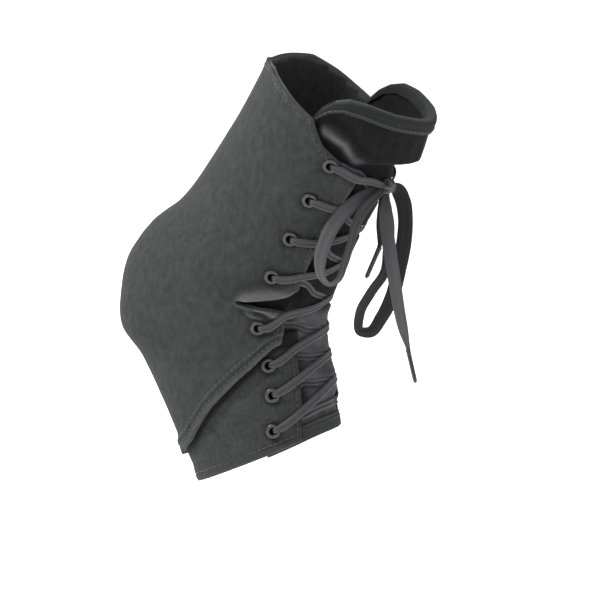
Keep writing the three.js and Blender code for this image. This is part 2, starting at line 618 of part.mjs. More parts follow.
// From an eyelet over its own front edge, across the tongue, and under the other panel
function crossing(row, side) {
  const { rise } = eyeletAt(row, side);
  const from = EYELETS[row].crosses;
  const target = EYELETS[row - 1].section;
  const to = mix(from, target, 0.85);
  const edge = side * (row < SHELL_ROWS ? shellFront(from) : forefootFront(from));
  const over = CROSSING.map(([share, right, left]) => {
    const level = side < 0 ? levelFrom(LACE_UPPER, right) : levelFrom(LACE_LOWER, left);
    return [mix(from, to, 0.5 - share / 2), side * HALF_OPENING * share, level];
  });
  const beneath = LACE_UNDER - bed(to);
  return [
    [from, edge, LACE_ON_CLOTH + rise(from, edge)],
    ...over,
    [to, -side * DIVE, beneath],
    [mix(to, target, 0.5), -side * UNDER_PANEL, beneath],
  ].map(([place, round, depth]) => laceStation(place, round, depth, 1));
}

// Each half of the lace starts under the middle of the lowest row, as [distance round, depth], and ends at
// the side of the knot
const LACE_START = [[0.25, LACE_LOWER - GAP], [5, LACE_LOWER - GAP], [13, mix(LACE_LOWER, LACE_UNDER, 0.8)],
  [22, LACE_UNDER], [34, LACE_UNDER]];
const KNOT_APPROACH = 17;
const knotCentre = off(...KNOT_AT, KNOT_HEIGHT);
function lacing(name, firstSide) {
  const start = LACE_START.map(([round, depth]) =>
    laceStation(EYELETS.at(-1).section, firstSide * round, depth, 1));
  const rows = [...allRows].reverse().flatMap((row, i) => {
    const side = i % 2 ? -firstSide : firstSide;
    return [...threaded(row, side), ...(row ? crossing(row, side) : [])];
  });
  const lastSide = EYELETS.length % 2 ? firstSide : -firstSide;
  const { crosses } = EYELETS[0];
  const end = [
    [crosses, lastSide * shellFront(crosses), LACE_ON_CLOTH],
    [crosses, lastSide * KNOT_APPROACH, LACE_ON_CLOTH],
    [KNOT_AT[0], KNOT_AT[1] + lastSide * (KNOT_SIZE[1] / 2 + GAP), KNOT_HEIGHT - GAP],
  ].map(([place, round, depth]) => laceStation(place, round, depth, 0.85));
  addPart(name, laceGeometry([...start, ...rows, ...end]), laceCotton);
}
lacing('lace_first_half', -1);
lacing('lace_second_half', 1);

// Knot, loops, ends and their aglets
const knotAcross = alongLacing(...KNOT_AT);
const knotOut = normalAt(...KNOT_AT);
const knotSideways = knotOut.clone().cross(knotAcross).normalize();
const knotBall = new THREE.SphereGeometry(0.5, 10, 7);
knotBall.scale(...KNOT_SIZE);
knotBall.applyMatrix4(new THREE.Matrix4().makeBasis(knotAcross, knotSideways, knotOut));
knotBall.translate(...knotCentre.toArray());
addPart('bow_knot', geometryOf(solid(knotBall)), laceCotton);

const bowFace = new THREE.Vector3(...BOW_FACE).normalize();
function hangingLace(name, list) {
  const points = list.map(([x, y, z]) => new THREE.Vector3(x, y, z).add(knotCentre));
  const stations = list.map(([, , , share, turn], i) => {
    const after = points[Math.min(i + 1, list.length - 1)];
    const tangent = after.clone().sub(points[Math.max(i - 1, 0)]).normalize();
    const across = tangent.clone().cross(bowFace).normalize();
    across.applyAxisAngle(tangent, THREE.MathUtils.degToRad(turn));
    return { point: points[i], across, width: share * LACE_WIDTH, thickness: LACE_THICKNESS };
  });
  addPart(name, laceGeometry(stations), laceCotton);
}
hangingLace('bow_loop_right', BOW.loopRight);
hangingLace('bow_loop_left', BOW.loopLeft);
hangingLace('lace_end_long', BOW.endLong);
hangingLace('lace_end_short', BOW.endShort);

const AGLET_SIDES = 8;
function aglet(name, [from, to]) {
  const start = new THREE.Vector3(...from).add(knotCentre);
  const direction = new THREE.Vector3(...to).add(knotCentre).sub(start).normalize();
  const middle = start.addScaledVector(direction, AGLET_LENGTH / 2);
  const tube = new THREE.CylinderGeometry(AGLET_DIAMETER / 2, AGLET_DIAMETER / 2, AGLET_LENGTH, AGLET_SIDES);
  addPart(name, tube.applyQuaternion(turnTo(direction)).translate(...middle.toArray()), agletPlastic);
}
aglet('aglet_long', BOW.agletLong);
aglet('aglet_short', BOW.agletShort);

export default brace;
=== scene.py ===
# A lace-up ankle brace of padded nylon canvas, dressed over its CAD frame.
# Metres, in the frame's axes: +X the way the toes point, +Y to the wearer's left and +Z up.
import math

import bpy
import numpy as np
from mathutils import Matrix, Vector, noise
from mathutils.geometry import delaunay_2d_cdt


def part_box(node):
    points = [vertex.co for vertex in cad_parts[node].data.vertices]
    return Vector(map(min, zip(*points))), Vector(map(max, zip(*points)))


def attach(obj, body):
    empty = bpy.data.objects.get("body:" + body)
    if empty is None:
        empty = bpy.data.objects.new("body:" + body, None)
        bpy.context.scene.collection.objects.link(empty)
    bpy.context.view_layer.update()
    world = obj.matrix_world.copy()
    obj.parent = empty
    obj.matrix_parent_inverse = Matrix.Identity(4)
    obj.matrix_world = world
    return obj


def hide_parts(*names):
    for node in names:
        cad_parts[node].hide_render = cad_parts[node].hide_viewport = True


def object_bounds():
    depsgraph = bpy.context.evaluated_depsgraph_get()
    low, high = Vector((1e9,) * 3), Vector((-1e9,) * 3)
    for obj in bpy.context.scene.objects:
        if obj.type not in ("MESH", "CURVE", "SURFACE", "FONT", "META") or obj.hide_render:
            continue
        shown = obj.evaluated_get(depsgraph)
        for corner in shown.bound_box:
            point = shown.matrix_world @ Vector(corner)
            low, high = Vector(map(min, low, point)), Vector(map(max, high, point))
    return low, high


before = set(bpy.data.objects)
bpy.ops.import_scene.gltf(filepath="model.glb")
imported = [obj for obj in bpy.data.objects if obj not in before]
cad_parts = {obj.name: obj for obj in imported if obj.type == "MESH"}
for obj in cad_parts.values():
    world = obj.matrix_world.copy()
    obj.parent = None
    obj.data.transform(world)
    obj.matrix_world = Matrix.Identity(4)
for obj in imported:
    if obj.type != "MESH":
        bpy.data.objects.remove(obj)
cad_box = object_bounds()
MM = 0.001

# Camera: a long lens on the wearer's right, a little in front and above, as a shop pictures a brace of this
# kind, with the whole brace inside a square picture.
CAMERA_AZIMUTH = math.radians(25)
CAMERA_ELEVATION = math.radians(12)
CAMERA_DISTANCE = 1.6
CAMERA_LENS_MM = 160
AIM_RIGHT = 0.033
AIM_UP = -0.018

camera_right = Vector((math.cos(CAMERA_AZIMUTH), math.sin(CAMERA_AZIMUTH), 0))
camera_forward = Vector((
    -math.sin(CAMERA_AZIMUTH) * math.cos(CAMERA_ELEVATION),
    math.cos(CAMERA_AZIMUTH) * math.cos(CAMERA_ELEVATION),
    -math.sin(CAMERA_ELEVATION),
))
camera_up = camera_right.cross(camera_forward)
camera_data = bpy.data.cameras.new("camera")
camera_data.lens = CAMERA_LENS_MM
camera = bpy.data.objects.new("camera", camera_data)
camera.location = camera_right * AIM_RIGHT + camera_up * AIM_UP - camera_forward * CAMERA_DISTANCE
camera.rotation_euler = camera_forward.to_track_quat("-Z", "Y").to_euler()
bpy.context.scene.collection.objects.link(camera)
bpy.context.scene.camera = camera


# Lace: a flat cotton braid, about 8 mm wide and 1.3 mm thick where it hangs free. Its two selvedges stand up
# as lengthwise ridges with a groove between them, and the braid's yarns run across it as chevrons.
LACE_WIDTH = 8.4 * MM
LACE_THICKNESS = 1.3 * MM
LACE_SIDES = 24
LACE_STEP = 0.6 * MM
LACE_FULL = 1.02
LACE_GROOVE = 0.34
CHEVRON_PITCH = 1.9 * MM
CHEVRON_HEIGHT = 0.07 * MM
CHEVRON_SLOPE = 1.1


def linear(hex_colour):
    """An sRGB hex colour as linear RGBA."""
    values = [int(hex_colour[i:i + 2], 16) / 255 for i in (1, 3, 5)]
    return [*(v / 12.92 if v <= 0.04045 else ((v + 0.055) / 1.055) ** 2.4 for v in values), 1.0]


def add_node(tree, kind, settings=None, links=None):
    """A shader node with its settings, and its inputs set to values or linked to other sockets."""
    node = tree.nodes.new(kind)
    for name, value in (settings or {}).items():
        setattr(node, name, value)
    for name, value in (links or {}).items():
        if isinstance(value, bpy.types.NodeSocket):
            tree.links.new(value, node.inputs[name])
        else:
            node.inputs[name].default_value = value
    return node


def start_material(name, **settings):
    """A material with a Principled shader, whose sockets are set by name."""
    material = bpy.data.materials.new(name)
    material.use_nodes = True
    tree = material.node_tree
    shader = tree.nodes["Principled BSDF"]
    for socket, value in settings.items():
        shader.inputs[socket.replace("_", " ")].default_value = value
    return material, tree, shader


def colour_ramp(tree, fac, stops):
    """A colour ramp through [place, hex colour] stops."""
    ramp = add_node(tree, "ShaderNodeValToRGB", links={"Fac": fac})
    elements = ramp.color_ramp.elements
    while len(elements) < len(stops):
        elements.new(0.5)
    for element, (place, colour) in zip(elements, stops):
        element.position = place
        element.color = linear(colour)
    return ramp.outputs["Color"]


def add_piece(name, points, faces, material, uv=None, wear_and_shading=None, smooth=True):
    """A mesh object from points, faces and, for each point, the place in the cloth and the share of wear and
    painted shading.
    """
    mesh = bpy.data.meshes.new(name)
    faces = [tuple(int(i) for i in face) for face in faces]
    mesh.from_pydata([tuple(p) for p in np.asarray(points, float)], [], faces)
    mesh.polygons.foreach_set("use_smooth", [smooth] * len(mesh.polygons))
    corners = np.empty(len(mesh.loops), dtype=np.int64)
    mesh.loops.foreach_get("vertex_index", corners)
    if uv is not None:
        layer = mesh.uv_layers.new(name="cloth")
        layer.uv.foreach_set("vector", np.asarray(uv, np.float32)[corners].ravel())
    # The attribute holds real wear together with painted light and shade, which the materials mix into their
    # colour.
    if wear_and_shading is not None:
        attribute = mesh.attributes.new("wear_and_shading", "FLOAT", "POINT")
        attribute.data.foreach_set("value", np.asarray(wear_and_shading, np.float32))
    mesh.materials.append(material)
    mesh.validate()
    piece = bpy.data.objects.new(name, mesh)
    bpy.context.scene.collection.objects.link(piece)
    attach(piece, "root")
    return piece


def lengths_along(line):
    """How far along a line each of its points is."""
    return np.concatenate([[0], np.cumsum(np.linalg.norm(np.diff(line, axis=0), axis=1))])


def spread_evenly(rows, lengths, count):
    """Rows of values at a count of evenly spaced lengths."""
    even = np.linspace(0, lengths[-1], count)
    return np.column_stack([np.interp(even, lengths, column) for column in rows.T])


def smooth_curve(rows, spacing):
    """Rows of x, y, z and other values, evenly spaced along a smooth curve through the given rows."""
    rows = np.asarray(rows, float)
    chords = np.linalg.norm(np.diff(rows[:, :3], axis=0), axis=1)
    slopes = np.diff(rows, axis=0) / chords[:, None]
    before, after = chords[:-1, None], chords[1:, None]
    inner = (slopes[:-1] * after + slopes[1:] * before) / (after + before)
    tangents = np.vstack([slopes[0], inner, slopes[-1]])
    fine = []
    for i, chord in enumerate(chords):
        t = np.linspace(0, 1, max(4, int(chord / spacing * 3)), endpoint=False)[:, None]
        fine.append(
            rows[i] * (1 + 2 * t) * (1 - t) ** 2 + rows[i + 1] * t ** 2 * (3 - 2 * t)
            + chord * (tangents[i] * t * (1 - t) ** 2 - tangents[i + 1] * t ** 2 * (1 - t))
        )
    fine = np.vstack([*fine, rows[-1:]])
    lengths = lengths_along(fine[:, :3])
    return spread_evenly(fine, lengths, max(2, int(lengths[-1] / spacing) + 1))


def unit(vectors):
    return vectors / np.maximum(np.linalg.norm(vectors, axis=-1, keepdims=True), 1e-12)


def cross_section_frame(points, across):
    """At each point of a route: the way across it, and the way out of its face."""
    tangent = unit(np.gradient(points, axis=0))
    wide = unit(across - (across * tangent).sum(1)[:, None] * tangent)
    return wide, np.cross(tangent, wide)


def lace_mesh(points, across, width, thickness, groove=LACE_GROOVE):
    """Points, faces and cloth places of a flat braid along a route, with a groove along its middle."""
    wide, out = cross_section_frame(points, across)
    place = lengths_along(points)
    turn = np.arange(LACE_SIDES) / LACE_SIDES * 2 * np.pi
    u = np.cos(turn)
    side_of_face = np.sign(np.sin(turn) + 1e-9)
    fullness = LACE_FULL - groove - groove * np.cos(2 * np.pi * u)
    ridged = np.sqrt(1 - np.abs(u) ** 6) * fullness * side_of_face
    chevron = CHEVRON_HEIGHT * np.sin(
        2 * np.pi * (place[:, None] / CHEVRON_PITCH + CHEVRON_SLOPE * np.abs(u)[None])
    ) * np.sign(ridged)[None] * (1 - u ** 4)[None]
    rings = (
        points[:, None]
        + wide[:, None] * (u[None] * width[:, None] / 2)[..., None]
        + out[:, None] * (ridged[None] * thickness[:, None] / 2 + chevron)[..., None]
    )
    count = len(points)
    index = np.arange(count * LACE_SIDES).reshape(count, LACE_SIDES)
    after = np.roll(index, -1, axis=1)
    faces = np.stack([index[:-1], after[:-1], after[1:], index[1:]], axis=-1).reshape(-1, 4).tolist()
    faces += [index[0][::-1].tolist(), index[-1].tolist()]
    around = np.where(np.arange(LACE_SIDES) <= LACE_SIDES / 2, u, -u + 2)
    uv = np.stack(np.broadcast_arrays(around[None] * LACE_WIDTH / 2, place[:, None]), axis=-1)
    return rings.reshape(-1, 3), faces, uv.reshape(-1, 2)


# The lace's yarn: matt spun cotton, dyed charcoal, each yarn of the braid about 0.8 mm across. Across the
# braid it is painted lighter on its two ridges, partly rubbed wear and partly painted highlight, and darker
# in the groove and at its outer edges, as painted shade. Along its length a painted shading makes it near
# black where it lies in shade, on the far loop, at the knot and under the panels, and lighter where light
# falls on it.
YARN = 0.8 * MM
YARN_SLOPE = 0.8
lace_cotton, tree, shader = start_material("braided_cotton_lace", Roughness=0.88, Sheen_Weight=0.12, IOR=1.5)
shader.inputs["Sheen Roughness"].default_value = 0.5
places = add_node(tree, "ShaderNodeUVMap", {"uv_map": "cloth"})
split = add_node(tree, "ShaderNodeSeparateXYZ", links={"Vector": places.outputs["UV"]})
folded = add_node(tree, "ShaderNodeMath", {"operation": "ABSOLUTE"}, {0: split.outputs["X"]})
sloped = add_node(tree, "ShaderNodeMath", {"operation": "MULTIPLY_ADD"}, {
    0: folded.outputs[0], 1: YARN_SLOPE, 2: split.outputs["Y"],
})
yarns = add_node(tree, "ShaderNodeMath", {"operation": "SINE"}, {
    0: add_node(tree, "ShaderNodeMath", {"operation": "MULTIPLY"}, {
        0: sloped.outputs[0], 1: 2 * math.pi / YARN,
    }).outputs[0],
})
fibre = add_node(tree, "ShaderNodeTexNoise", links={"Scale": 900.0, "Detail": 3.0})
mottle = add_node(tree, "ShaderNodeTexNoise", links={"Scale": 160.0, "Detail": 4.0})
relief = add_node(tree, "ShaderNodeMath", {"operation": "MULTIPLY_ADD"}, {
    0: fibre.outputs["Fac"], 1: 0.9, 2: yarns.outputs[0],
})
bump = add_node(tree, "ShaderNodeBump", links={
    "Strength": 0.55, "Distance": 0.12 * MM, "Height": relief.outputs[0],
})
tree.links.new(bump.outputs["Normal"], shader.inputs["Normal"])
half_way = add_node(tree, "ShaderNodeMath", {"operation": "MULTIPLY"}, {
    0: folded.outputs[0], 1: 2 / LACE_WIDTH,
})
# Painted highlight on the two ridges, and painted shade in the groove and at the outer edges, across the
# braid.
ridge_and_groove_shading = colour_ramp(tree, half_way.outputs[0], [
    (0.0, "#8e8e8e"), (0.15, "#a0a0a0"), (0.45, "#ffffff"), (0.7, "#f4f4f4"), (0.97, "#888888"),
    (1.0, "#888888"),
])
dyed = colour_ramp(tree, mottle.outputs["Fac"], [(0.3, "#757378"), (0.7, "#9a979d")])
grooved = add_node(tree, "ShaderNodeMix", {"data_type": "RGBA", "blend_type": "MULTIPLY"}, {
    0: 1.0, 6: dyed, 7: ridge_and_groove_shading,
})
# Painted shade and light: a low attribute mixes the lace toward near black, a high one keeps its full colour.
shade_and_highlight = add_node(tree, "ShaderNodeAttribute", {"attribute_name": "wear_and_shading"})
lace_colour = add_node(tree, "ShaderNodeMix", {"data_type": "RGBA", "clamp_factor": True}, {
    0: shade_and_highlight.outputs["Fac"], 6: linear("#141316"), 7: grooved.outputs[2],
})
tree.links.new(lace_colour.outputs[2], shader.inputs["Base Color"])

# Bow: the same lace past the knot, as two loops and two free ends that hang under their own weight. Each
# point is x, y, z from the middle of the knot, the share of LACE_WIDTH and the degrees turned about the
# length. The painted shading goes by the share of the length: the left loop and the short end are painted
# dark, as painted shade, and the right loop's outer leg and the long end are lighter where they face the
# light.
BOW_ROUTES = {
    "bow_loop_right": [
        (-0.002, -0.0015, -0.001, 0.4, 10),
        (-0.005, -0.005, -0.001, 0.45, 10), (-0.0085, -0.012, -0.004, 0.85, 5),
        (-0.0155, -0.0195, -0.0105, 1, 5), (-0.0215, -0.025, -0.0185, 1, 10),
        (-0.026, -0.030, -0.030, 1, 15), (-0.028, -0.033, -0.0415, 0.95, 30),
        (-0.0265, -0.0335, -0.050, 0.9, 55), (-0.0215, -0.033, -0.054, 0.9, 70),
        (-0.0175, -0.031, -0.0515, 0.9, 65), (-0.015, -0.0285, -0.0435, 0.9, 55),
        (-0.0125, -0.025, -0.032, 0.9, 55), (-0.011, -0.021, -0.021, 0.95, 50),
        (-0.008, -0.016, -0.012, 0.85, 35), (-0.0045, -0.0125, -0.007, 0.7, 25),
        (-0.002, -0.0075, -0.0035, 0.45, 15), (-0.001, -0.003, -0.001, 0.4, 15),
    ],
    "bow_loop_left": [
        (-0.001, 0.004, -0.001, 0.4, 0),
        (-0.001, 0.0095, -0.0015, 0.5, 0), (0.0005, 0.0125, -0.0035, 0.95, 10),
        (0.0032, 0.015, -0.0105, 1.1, 10), (0.0048, 0.0155, -0.022, 1.05, 5),
        (0.0047, 0.0138, -0.035, 1.08, 5), (0.0032, 0.0105, -0.050, 1.05, 5),
        (0.0012, 0.006, -0.065, 1, 10), (-0.0035, 0, -0.0785, 0.95, 20),
        (-0.0085, -0.005, -0.0865, 0.9, 30), (-0.013, -0.009, -0.0855, 0.85, 40),
        (-0.0135, -0.0085, -0.0755, 0.75, 25), (-0.0083, -0.0042, -0.063, 0.72, 20),
        (-0.0015, 0, -0.051, 0.72, 20), (-0.001, 0.0035, -0.038, 0.8, 20),
        (-0.002, 0.0065, -0.0225, 0.8, 10), (-0.004, 0.0075, -0.0115, 0.6, 5),
        (-0.004, 0.0075, -0.007, 0.45, 5), (-0.002, 0.004, -0.002, 0.4, 5),
    ],
    "lace_end_long": [
        (-0.0005, -0.0005, -0.002, 0.4, 0),
        (-0.0005, -0.0015, -0.0055, 0.5, 5), (0.0005, -0.004, -0.013, 0.95, 20),
        (0.0025, -0.006, -0.026, 1.05, 28), (0.006, -0.0085, -0.0405, 1.05, 30),
        (0.0095, -0.0105, -0.055, 1, 30), (0.0125, -0.0115, -0.069, 0.92, 30),
        (0.016, -0.0125, -0.082, 0.75, 30),
        (0.019, -0.013, -0.0915, 0.36, 30), (0.0197, -0.01313, -0.094, 0.3, 30),
    ],
    "lace_end_short": [
        (-0.002, 0.0015, -0.001, 0.4, 0),
        (-0.004, 0.003, -0.0055, 0.5, 0), (-0.003, 0.0015, -0.0135, 0.85, 0),
        (-0.003, -0.0005, -0.0225, 0.85, 0), (-0.003, -0.002, -0.0305, 0.6, 10),
        (-0.0035, -0.003, -0.0345, 0.34, 20), (-0.0045, -0.00411, -0.0386, 0.28, 20),
        (-0.0062, -0.006, -0.0439, 0.28, 20),
    ],
}
BOW_FACE = np.array([0.4, -0.9, 0.2])
SHORT_END_SHARE = 0.85
# Painted shade and light along each part of the bow: low values paint it near black, high values leave it
# lit.
BOW_SHADING = {
    "bow_loop_right": [(0, 0.35), (0.15, 0.85), (0.45, 0.85), (0.6, 0.45), (1, 0.25)],
    "bow_loop_left": [(0, 0.1), (0.45, 0.12), (0.6, 0.2), (0.8, 0.1), (1, 0.1)],
    "lace_end_long": [(0, 0.4), (0.15, 0.9), (1, 1)],
    "lace_end_short": [(0, 0.1), (1, 0.1)],
}

knot_low, knot_high = (np.array(corner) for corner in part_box("bow_knot"))
knot_centre = (knot_low + knot_high) / 2
bow_paths = {}
for name, route in BOW_ROUTES.items():
    rows = smooth_curve(route, LACE_STEP)
    path = rows[:, :3] + knot_centre
    tangent = unit(np.gradient(path, axis=0))
    level = unit(np.cross(tangent, BOW_FACE))
    turned = np.radians(rows[:, 4])[:, None]
    across = level * np.cos(turned) + np.cross(tangent, level) * np.sin(turned)
    thickness = np.full(len(path), LACE_THICKNESS)
    points, faces, uv = lace_mesh(path, across, rows[:, 3] * LACE_WIDTH, thickness)
    lace_shading = np.interp(np.linspace(0, 1, len(path)), *zip(*BOW_SHADING[name]))
    piece = add_piece(name, points, faces, lace_cotton, uv, np.repeat(lace_shading, LACE_SIDES))
    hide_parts(name)
    bow_paths[name] = path

# Aglets: the hard tips on the lace's ends. Each is a thin acetate film, wrapped round the braid and pressed
# hot, which leaves a lip at its mouth, a rounded nose and a seam along it.
AGLET_LENGTH = 20 * MM
AGLET_RADIUS = 1.5 * MM
AGLET_SIDES = 24
AGLET_PROFILE = [
    (0.0, 0.72), (0.0, 1.0), (0.03, 1.0), (0.06, 0.93), (0.3, 0.86), (0.7, 0.84), (0.9, 0.83), (0.96, 0.7),
    (0.99, 0.42), (1.0, 0.0),
]
AGLET_SEAM = 0.12
SEAM_SPREAD = 0.35
AGLETS = {
    "aglet_long": ((0.019, -0.013, -0.0925), (0.0245, -0.014, -0.112)),
    "aglet_short": ((-0.0035, -0.003, -0.0355), (-0.008, -0.008, -0.0495)),
}

aglet_plastic, tree, shader = start_material("acetate_film", Roughness=0.32, IOR=1.48, Coat_Weight=0.3)
film = add_node(tree, "ShaderNodeTexNoise", links={"Scale": 700.0, "Detail": 2.0})
tree.links.new(
    colour_ramp(tree, film.outputs["Fac"], [(0.35, "#151517"), (0.65, "#1f1f22")]),
    shader.inputs["Base Color"],
)
bump = add_node(tree, "ShaderNodeBump", links={
    "Strength": 0.25, "Distance": 0.05 * MM, "Height": film.outputs["Fac"],
})
tree.links.new(bump.outputs["Normal"], shader.inputs["Normal"])


def wall_faces(index):
    """The faces between rings of points, from the points' numbers, a row to a ring."""
    after = np.roll(index, -1, axis=1)
    return np.stack([index[:-1], index[1:], after[1:], after[:-1]], axis=-1).reshape(-1, 4).tolist()


def turned_mesh(profile, axis_point, axis, sides, ripple=0.0):
    """A body turned about an axis, from [distance along it, radius] rings."""
    axis = unit(np.asarray(axis, float))
    side = unit(np.cross(axis, [0.3, 0.2, 0.9]))
    other = np.cross(axis, side)
    turn = np.arange(sides) / sides * 2 * np.pi
    swell = 1 + ripple * np.exp(-((turn - np.pi) / SEAM_SPREAD) ** 2)
    points = [
        axis_point + axis * along + (side * np.cos(a) + other * np.sin(a)) * radius * k
        for along, radius in profile for a, k in zip(turn, swell)
    ]
    return np.array(points), wall_faces(np.arange(len(points)).reshape(len(profile), sides))


for name, (start, end) in AGLETS.items():
    axis = np.array(end) - np.array(start)
    profile = [(along * AGLET_LENGTH, radius * AGLET_RADIUS) for along, radius in AGLET_PROFILE]
    points, faces = turned_mesh(profile, knot_centre + start, axis, AGLET_SIDES, AGLET_SEAM)
    piece = add_piece(name, points, faces, aglet_plastic)
    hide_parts(name)

for name, far_end, tip, width in (
    ("bow_loop_right", "object", [], LACE_WIDTH),
    ("bow_loop_left", "object", [], LACE_WIDTH),
    ("lace_end_long", "fitting", ["aglet_long"], LACE_WIDTH),
    ("lace_end_short", "fitting", ["aglet_short"], SHORT_END_SHARE * LACE_WIDTH),
):
    path = bow_paths[name]

# Worn form: what the cloth is pulled over, in sections from above the top edge to the foot opening. The
# columns are the back and front points' x and z, the width, where it is widest, and the squareness behind and
# in front of that, in shares of the form's length, height and width.
FORM_LENGTH = 190 * MM
FORM_HEIGHT = 260 * MM
FORM_WIDTH = 84 * MM
SECTIONS = np.array([
    [0.19, 0.602, 0.648, 0.444, 1.14, 0.52, 2.0, 2.0],
    [0.104, 0.502, 0.564, 0.348, 1.08, 0.52, 1.95, 2.0],
    [-0.01, 0.365, 0.484, 0.235, 0.99, 0.53, 1.85, 2.0],
    [-0.122, 0.244, 0.401, 0.125, 0.94, 0.55, 1.8, 2.0],
    [-0.215, 0.161, 0.348, 0.052, 0.95, 0.58, 1.8, 2.0],
    [-0.322, 0.1, 0.314, -0.003, 0.97, 0.6, 1.85, 2.0],
    [-0.401, 0.021, 0.293, -0.042, 0.97, 0.6, 1.95, 2.0],
    [-0.428, -0.063, 0.282, -0.071, 0.94, 0.58, 2.1, 2.0],
    [-0.422, -0.146, 0.279, -0.1, 0.92, 0.55, 2.25, 2.0],
    [-0.343, -0.212, 0.279, -0.128, 0.91, 0.5, 2.4, 2.0],
    [-0.268, -0.306, 0.282, -0.158, 0.91, 0.46, 2.5, 1.95],
    [-0.214, -0.378, 0.293, -0.198, 0.92, 0.43, 2.6, 1.95],
    [-0.171, -0.442, 0.31, -0.251, 0.93, 0.42, 2.6, 1.95],
    [-0.122, -0.5, 0.335, -0.348, 0.94, 0.42, 2.6, 2.0],
])
LAST_SECTION = len(SECTIONS) - 1
ROWS_PER_SECTION = 40
FORM_TURNS = 361
HALF_RING_POINTS = 241
ANKLE_BONE = 3.5 * MM
BONE_SECTION, BONE_ROUND, BONE_SPREAD_SECTION, BONE_SPREAD_ROUND = 5.2, 0.52, 1.1, 0.13
PROBE = 0.05
PROBE_ROUND = 1.5 * MM


def smooth_step(t):
    t = np.clip(t, 0, 1)
    return t * t * (3 - 2 * t)


def hump(distance, at, width):
    """A smooth hump, 1 high at one distance and gone a few widths away."""
    return np.exp(-((distance - at) / width) ** 2)


def form_row(place):
    """A section's values at any place, on a smooth curve through the sections."""
    i = min(LAST_SECTION - 1, int(place))
    t = place - i
    a, b, c, d = (SECTIONS[min(max(k, 0), LAST_SECTION)] for k in range(i - 1, i + 3))
    square, cube = 2 * a - 5 * b + 4 * c - d, 3 * b - a - 3 * c + d
    return 0.5 * (2 * b + (c - a) * t + square * t ** 2 + cube * t ** 3)


def half_ring(place):
    """One side of a section from front to back, evenly spaced, and its length."""
    back_x, back_z, front_x, front_z, width, widest, back_power, front_power = form_row(place)
    back = np.array([back_x * FORM_LENGTH, 0, back_z * FORM_HEIGHT])
    front = np.array([front_x * FORM_LENGTH, 0, front_z * FORM_HEIGHT])
    middle = back + (front - back) * widest
    angle = np.linspace(0, np.pi, HALF_RING_POINTS)
    ahead = angle < np.pi / 2
    power = np.where(ahead, 2 / front_power, 2 / back_power)
    toward = np.where(ahead[:, None], front - middle, back - middle)
    points = middle + toward * (np.abs(np.cos(angle)) ** power)[:, None]
    points[:, 1] = width * FORM_WIDTH / 2 * np.abs(np.sin(angle)) ** power
    lengths = lengths_along(points)
    return spread_evenly(points, lengths, FORM_TURNS), lengths[-1]


form_places = np.linspace(0, LAST_SECTION, LAST_SECTION * ROWS_PER_SECTION + 1)
form_rings, form_girths = (np.array(part) for part in zip(*(half_ring(place) for place in form_places)))
form_drops = np.cumsum(np.vstack([
    np.zeros((1, FORM_TURNS)), np.linalg.norm(np.diff(form_rings, axis=0), axis=2),
]), axis=0)


def look_up(table, place, share):
    """A table of the form at places and shares of the way round, between its rows and columns."""
    row = np.clip(place, 0, LAST_SECTION) * ROWS_PER_SECTION
    i = np.minimum(row.astype(int), len(table) - 2)
    column = np.clip(share, 0, 1) * (FORM_TURNS - 1)
    j = np.minimum(column.astype(int), FORM_TURNS - 2)
    t, s = row - i, column - j
    if table.ndim == 3:
        t, s = t[..., None], s[..., None]
    return (1 - t) * ((1 - s) * table[i, j] + s * table[i, j + 1]) + t * (
        (1 - s) * table[i + 1, j] + s * table[i + 1, j + 1])


def half_girth(place):
    return np.interp(place, form_places, form_girths)


def skin(place, round_way):
    """Points of the form: section, and distance round from the front, negative on the wearer's right."""
    place, round_way = np.broadcast_arrays(np.asarray(place, float), np.asarray(round_way, float))
    girth = half_girth(place)
    wrapped = np.where(np.abs(round_way) > girth, round_way - 2 * girth * np.sign(round_way), round_way)
    points = look_up(form_rings, place, np.abs(wrapped) / girth)
    points[..., 1] *= np.where(wrapped < 0, -1, 1)
    return points


def normal_at(place, round_way):
    down = skin(place + PROBE, round_way) - skin(place - PROBE, round_way)
    return unit(np.cross(down, skin(place, round_way + PROBE_ROUND) - skin(place, round_way - PROBE_ROUND)))


def off(place, round_way, distance):
    """Points a distance off the form, outwards if positive, with the ankle bones' bulge."""
    place, round_way = np.asarray(place, float), np.asarray(round_way, float)
    bulge = ANKLE_BONE * np.exp(
        -((place - BONE_SECTION) / BONE_SPREAD_SECTION) ** 2
        - ((np.abs(round_way) / half_girth(place) - BONE_ROUND) / BONE_SPREAD_ROUND) ** 2)
    return skin(place, round_way) + normal_at(place, round_way) * np.asarray(distance + bulge)[..., None]


def section_length(place, round_way):
    apart = skin(place + PROBE, round_way) - skin(place - PROBE, round_way)
    return np.linalg.norm(apart, axis=-1) / (2 * PROBE)


def along(pairs, place):
    return np.interp(place, [pair[0] for pair in pairs], [pair[1] for pair in pairs])


# Shell: one panel of padded nylon canvas, 2.4 mm thick, that goes round the leg and the heel and opens down
# the front. Its edges are turned and sewn, its hem laps over the forefoot panel, and it is notched at the
# ankle.
SHELL_CLOTH = 2.4 * MM
GAP = 0.35 * MM
SLACK = 0.2 * MM
LAP = 7 * MM
LAP_RAMP = 7 * MM
PRESSED_BELOW = 9 * MM
LAP_RISE = (SHELL_CLOTH + GAP) * 0.55
LAP_SINK = SHELL_CLOTH + GAP - LAP_RISE
HALF_OPENING = 27.3 * MM
NOTCH_DEPTH = 32 * MM
TOP_EDGE = [(0, 2), (0.13, 1.76), (0.24, 1.6), (0.3, 1.42), (0.345, 1.25), (0.48, 1.13), (0.58, 1.03),
            (0.735, 0.92), (0.87, 0.98), (1, 1.06)]
SHELL_HEM = [(0, 9), (0.03, 9.1), (0.083, 9.46), (0.155, 9.86), (0.3, 10.38), (0.448, 10.87), (0.624, 11.6),
             (0.8, 11.9), (1, 12)]
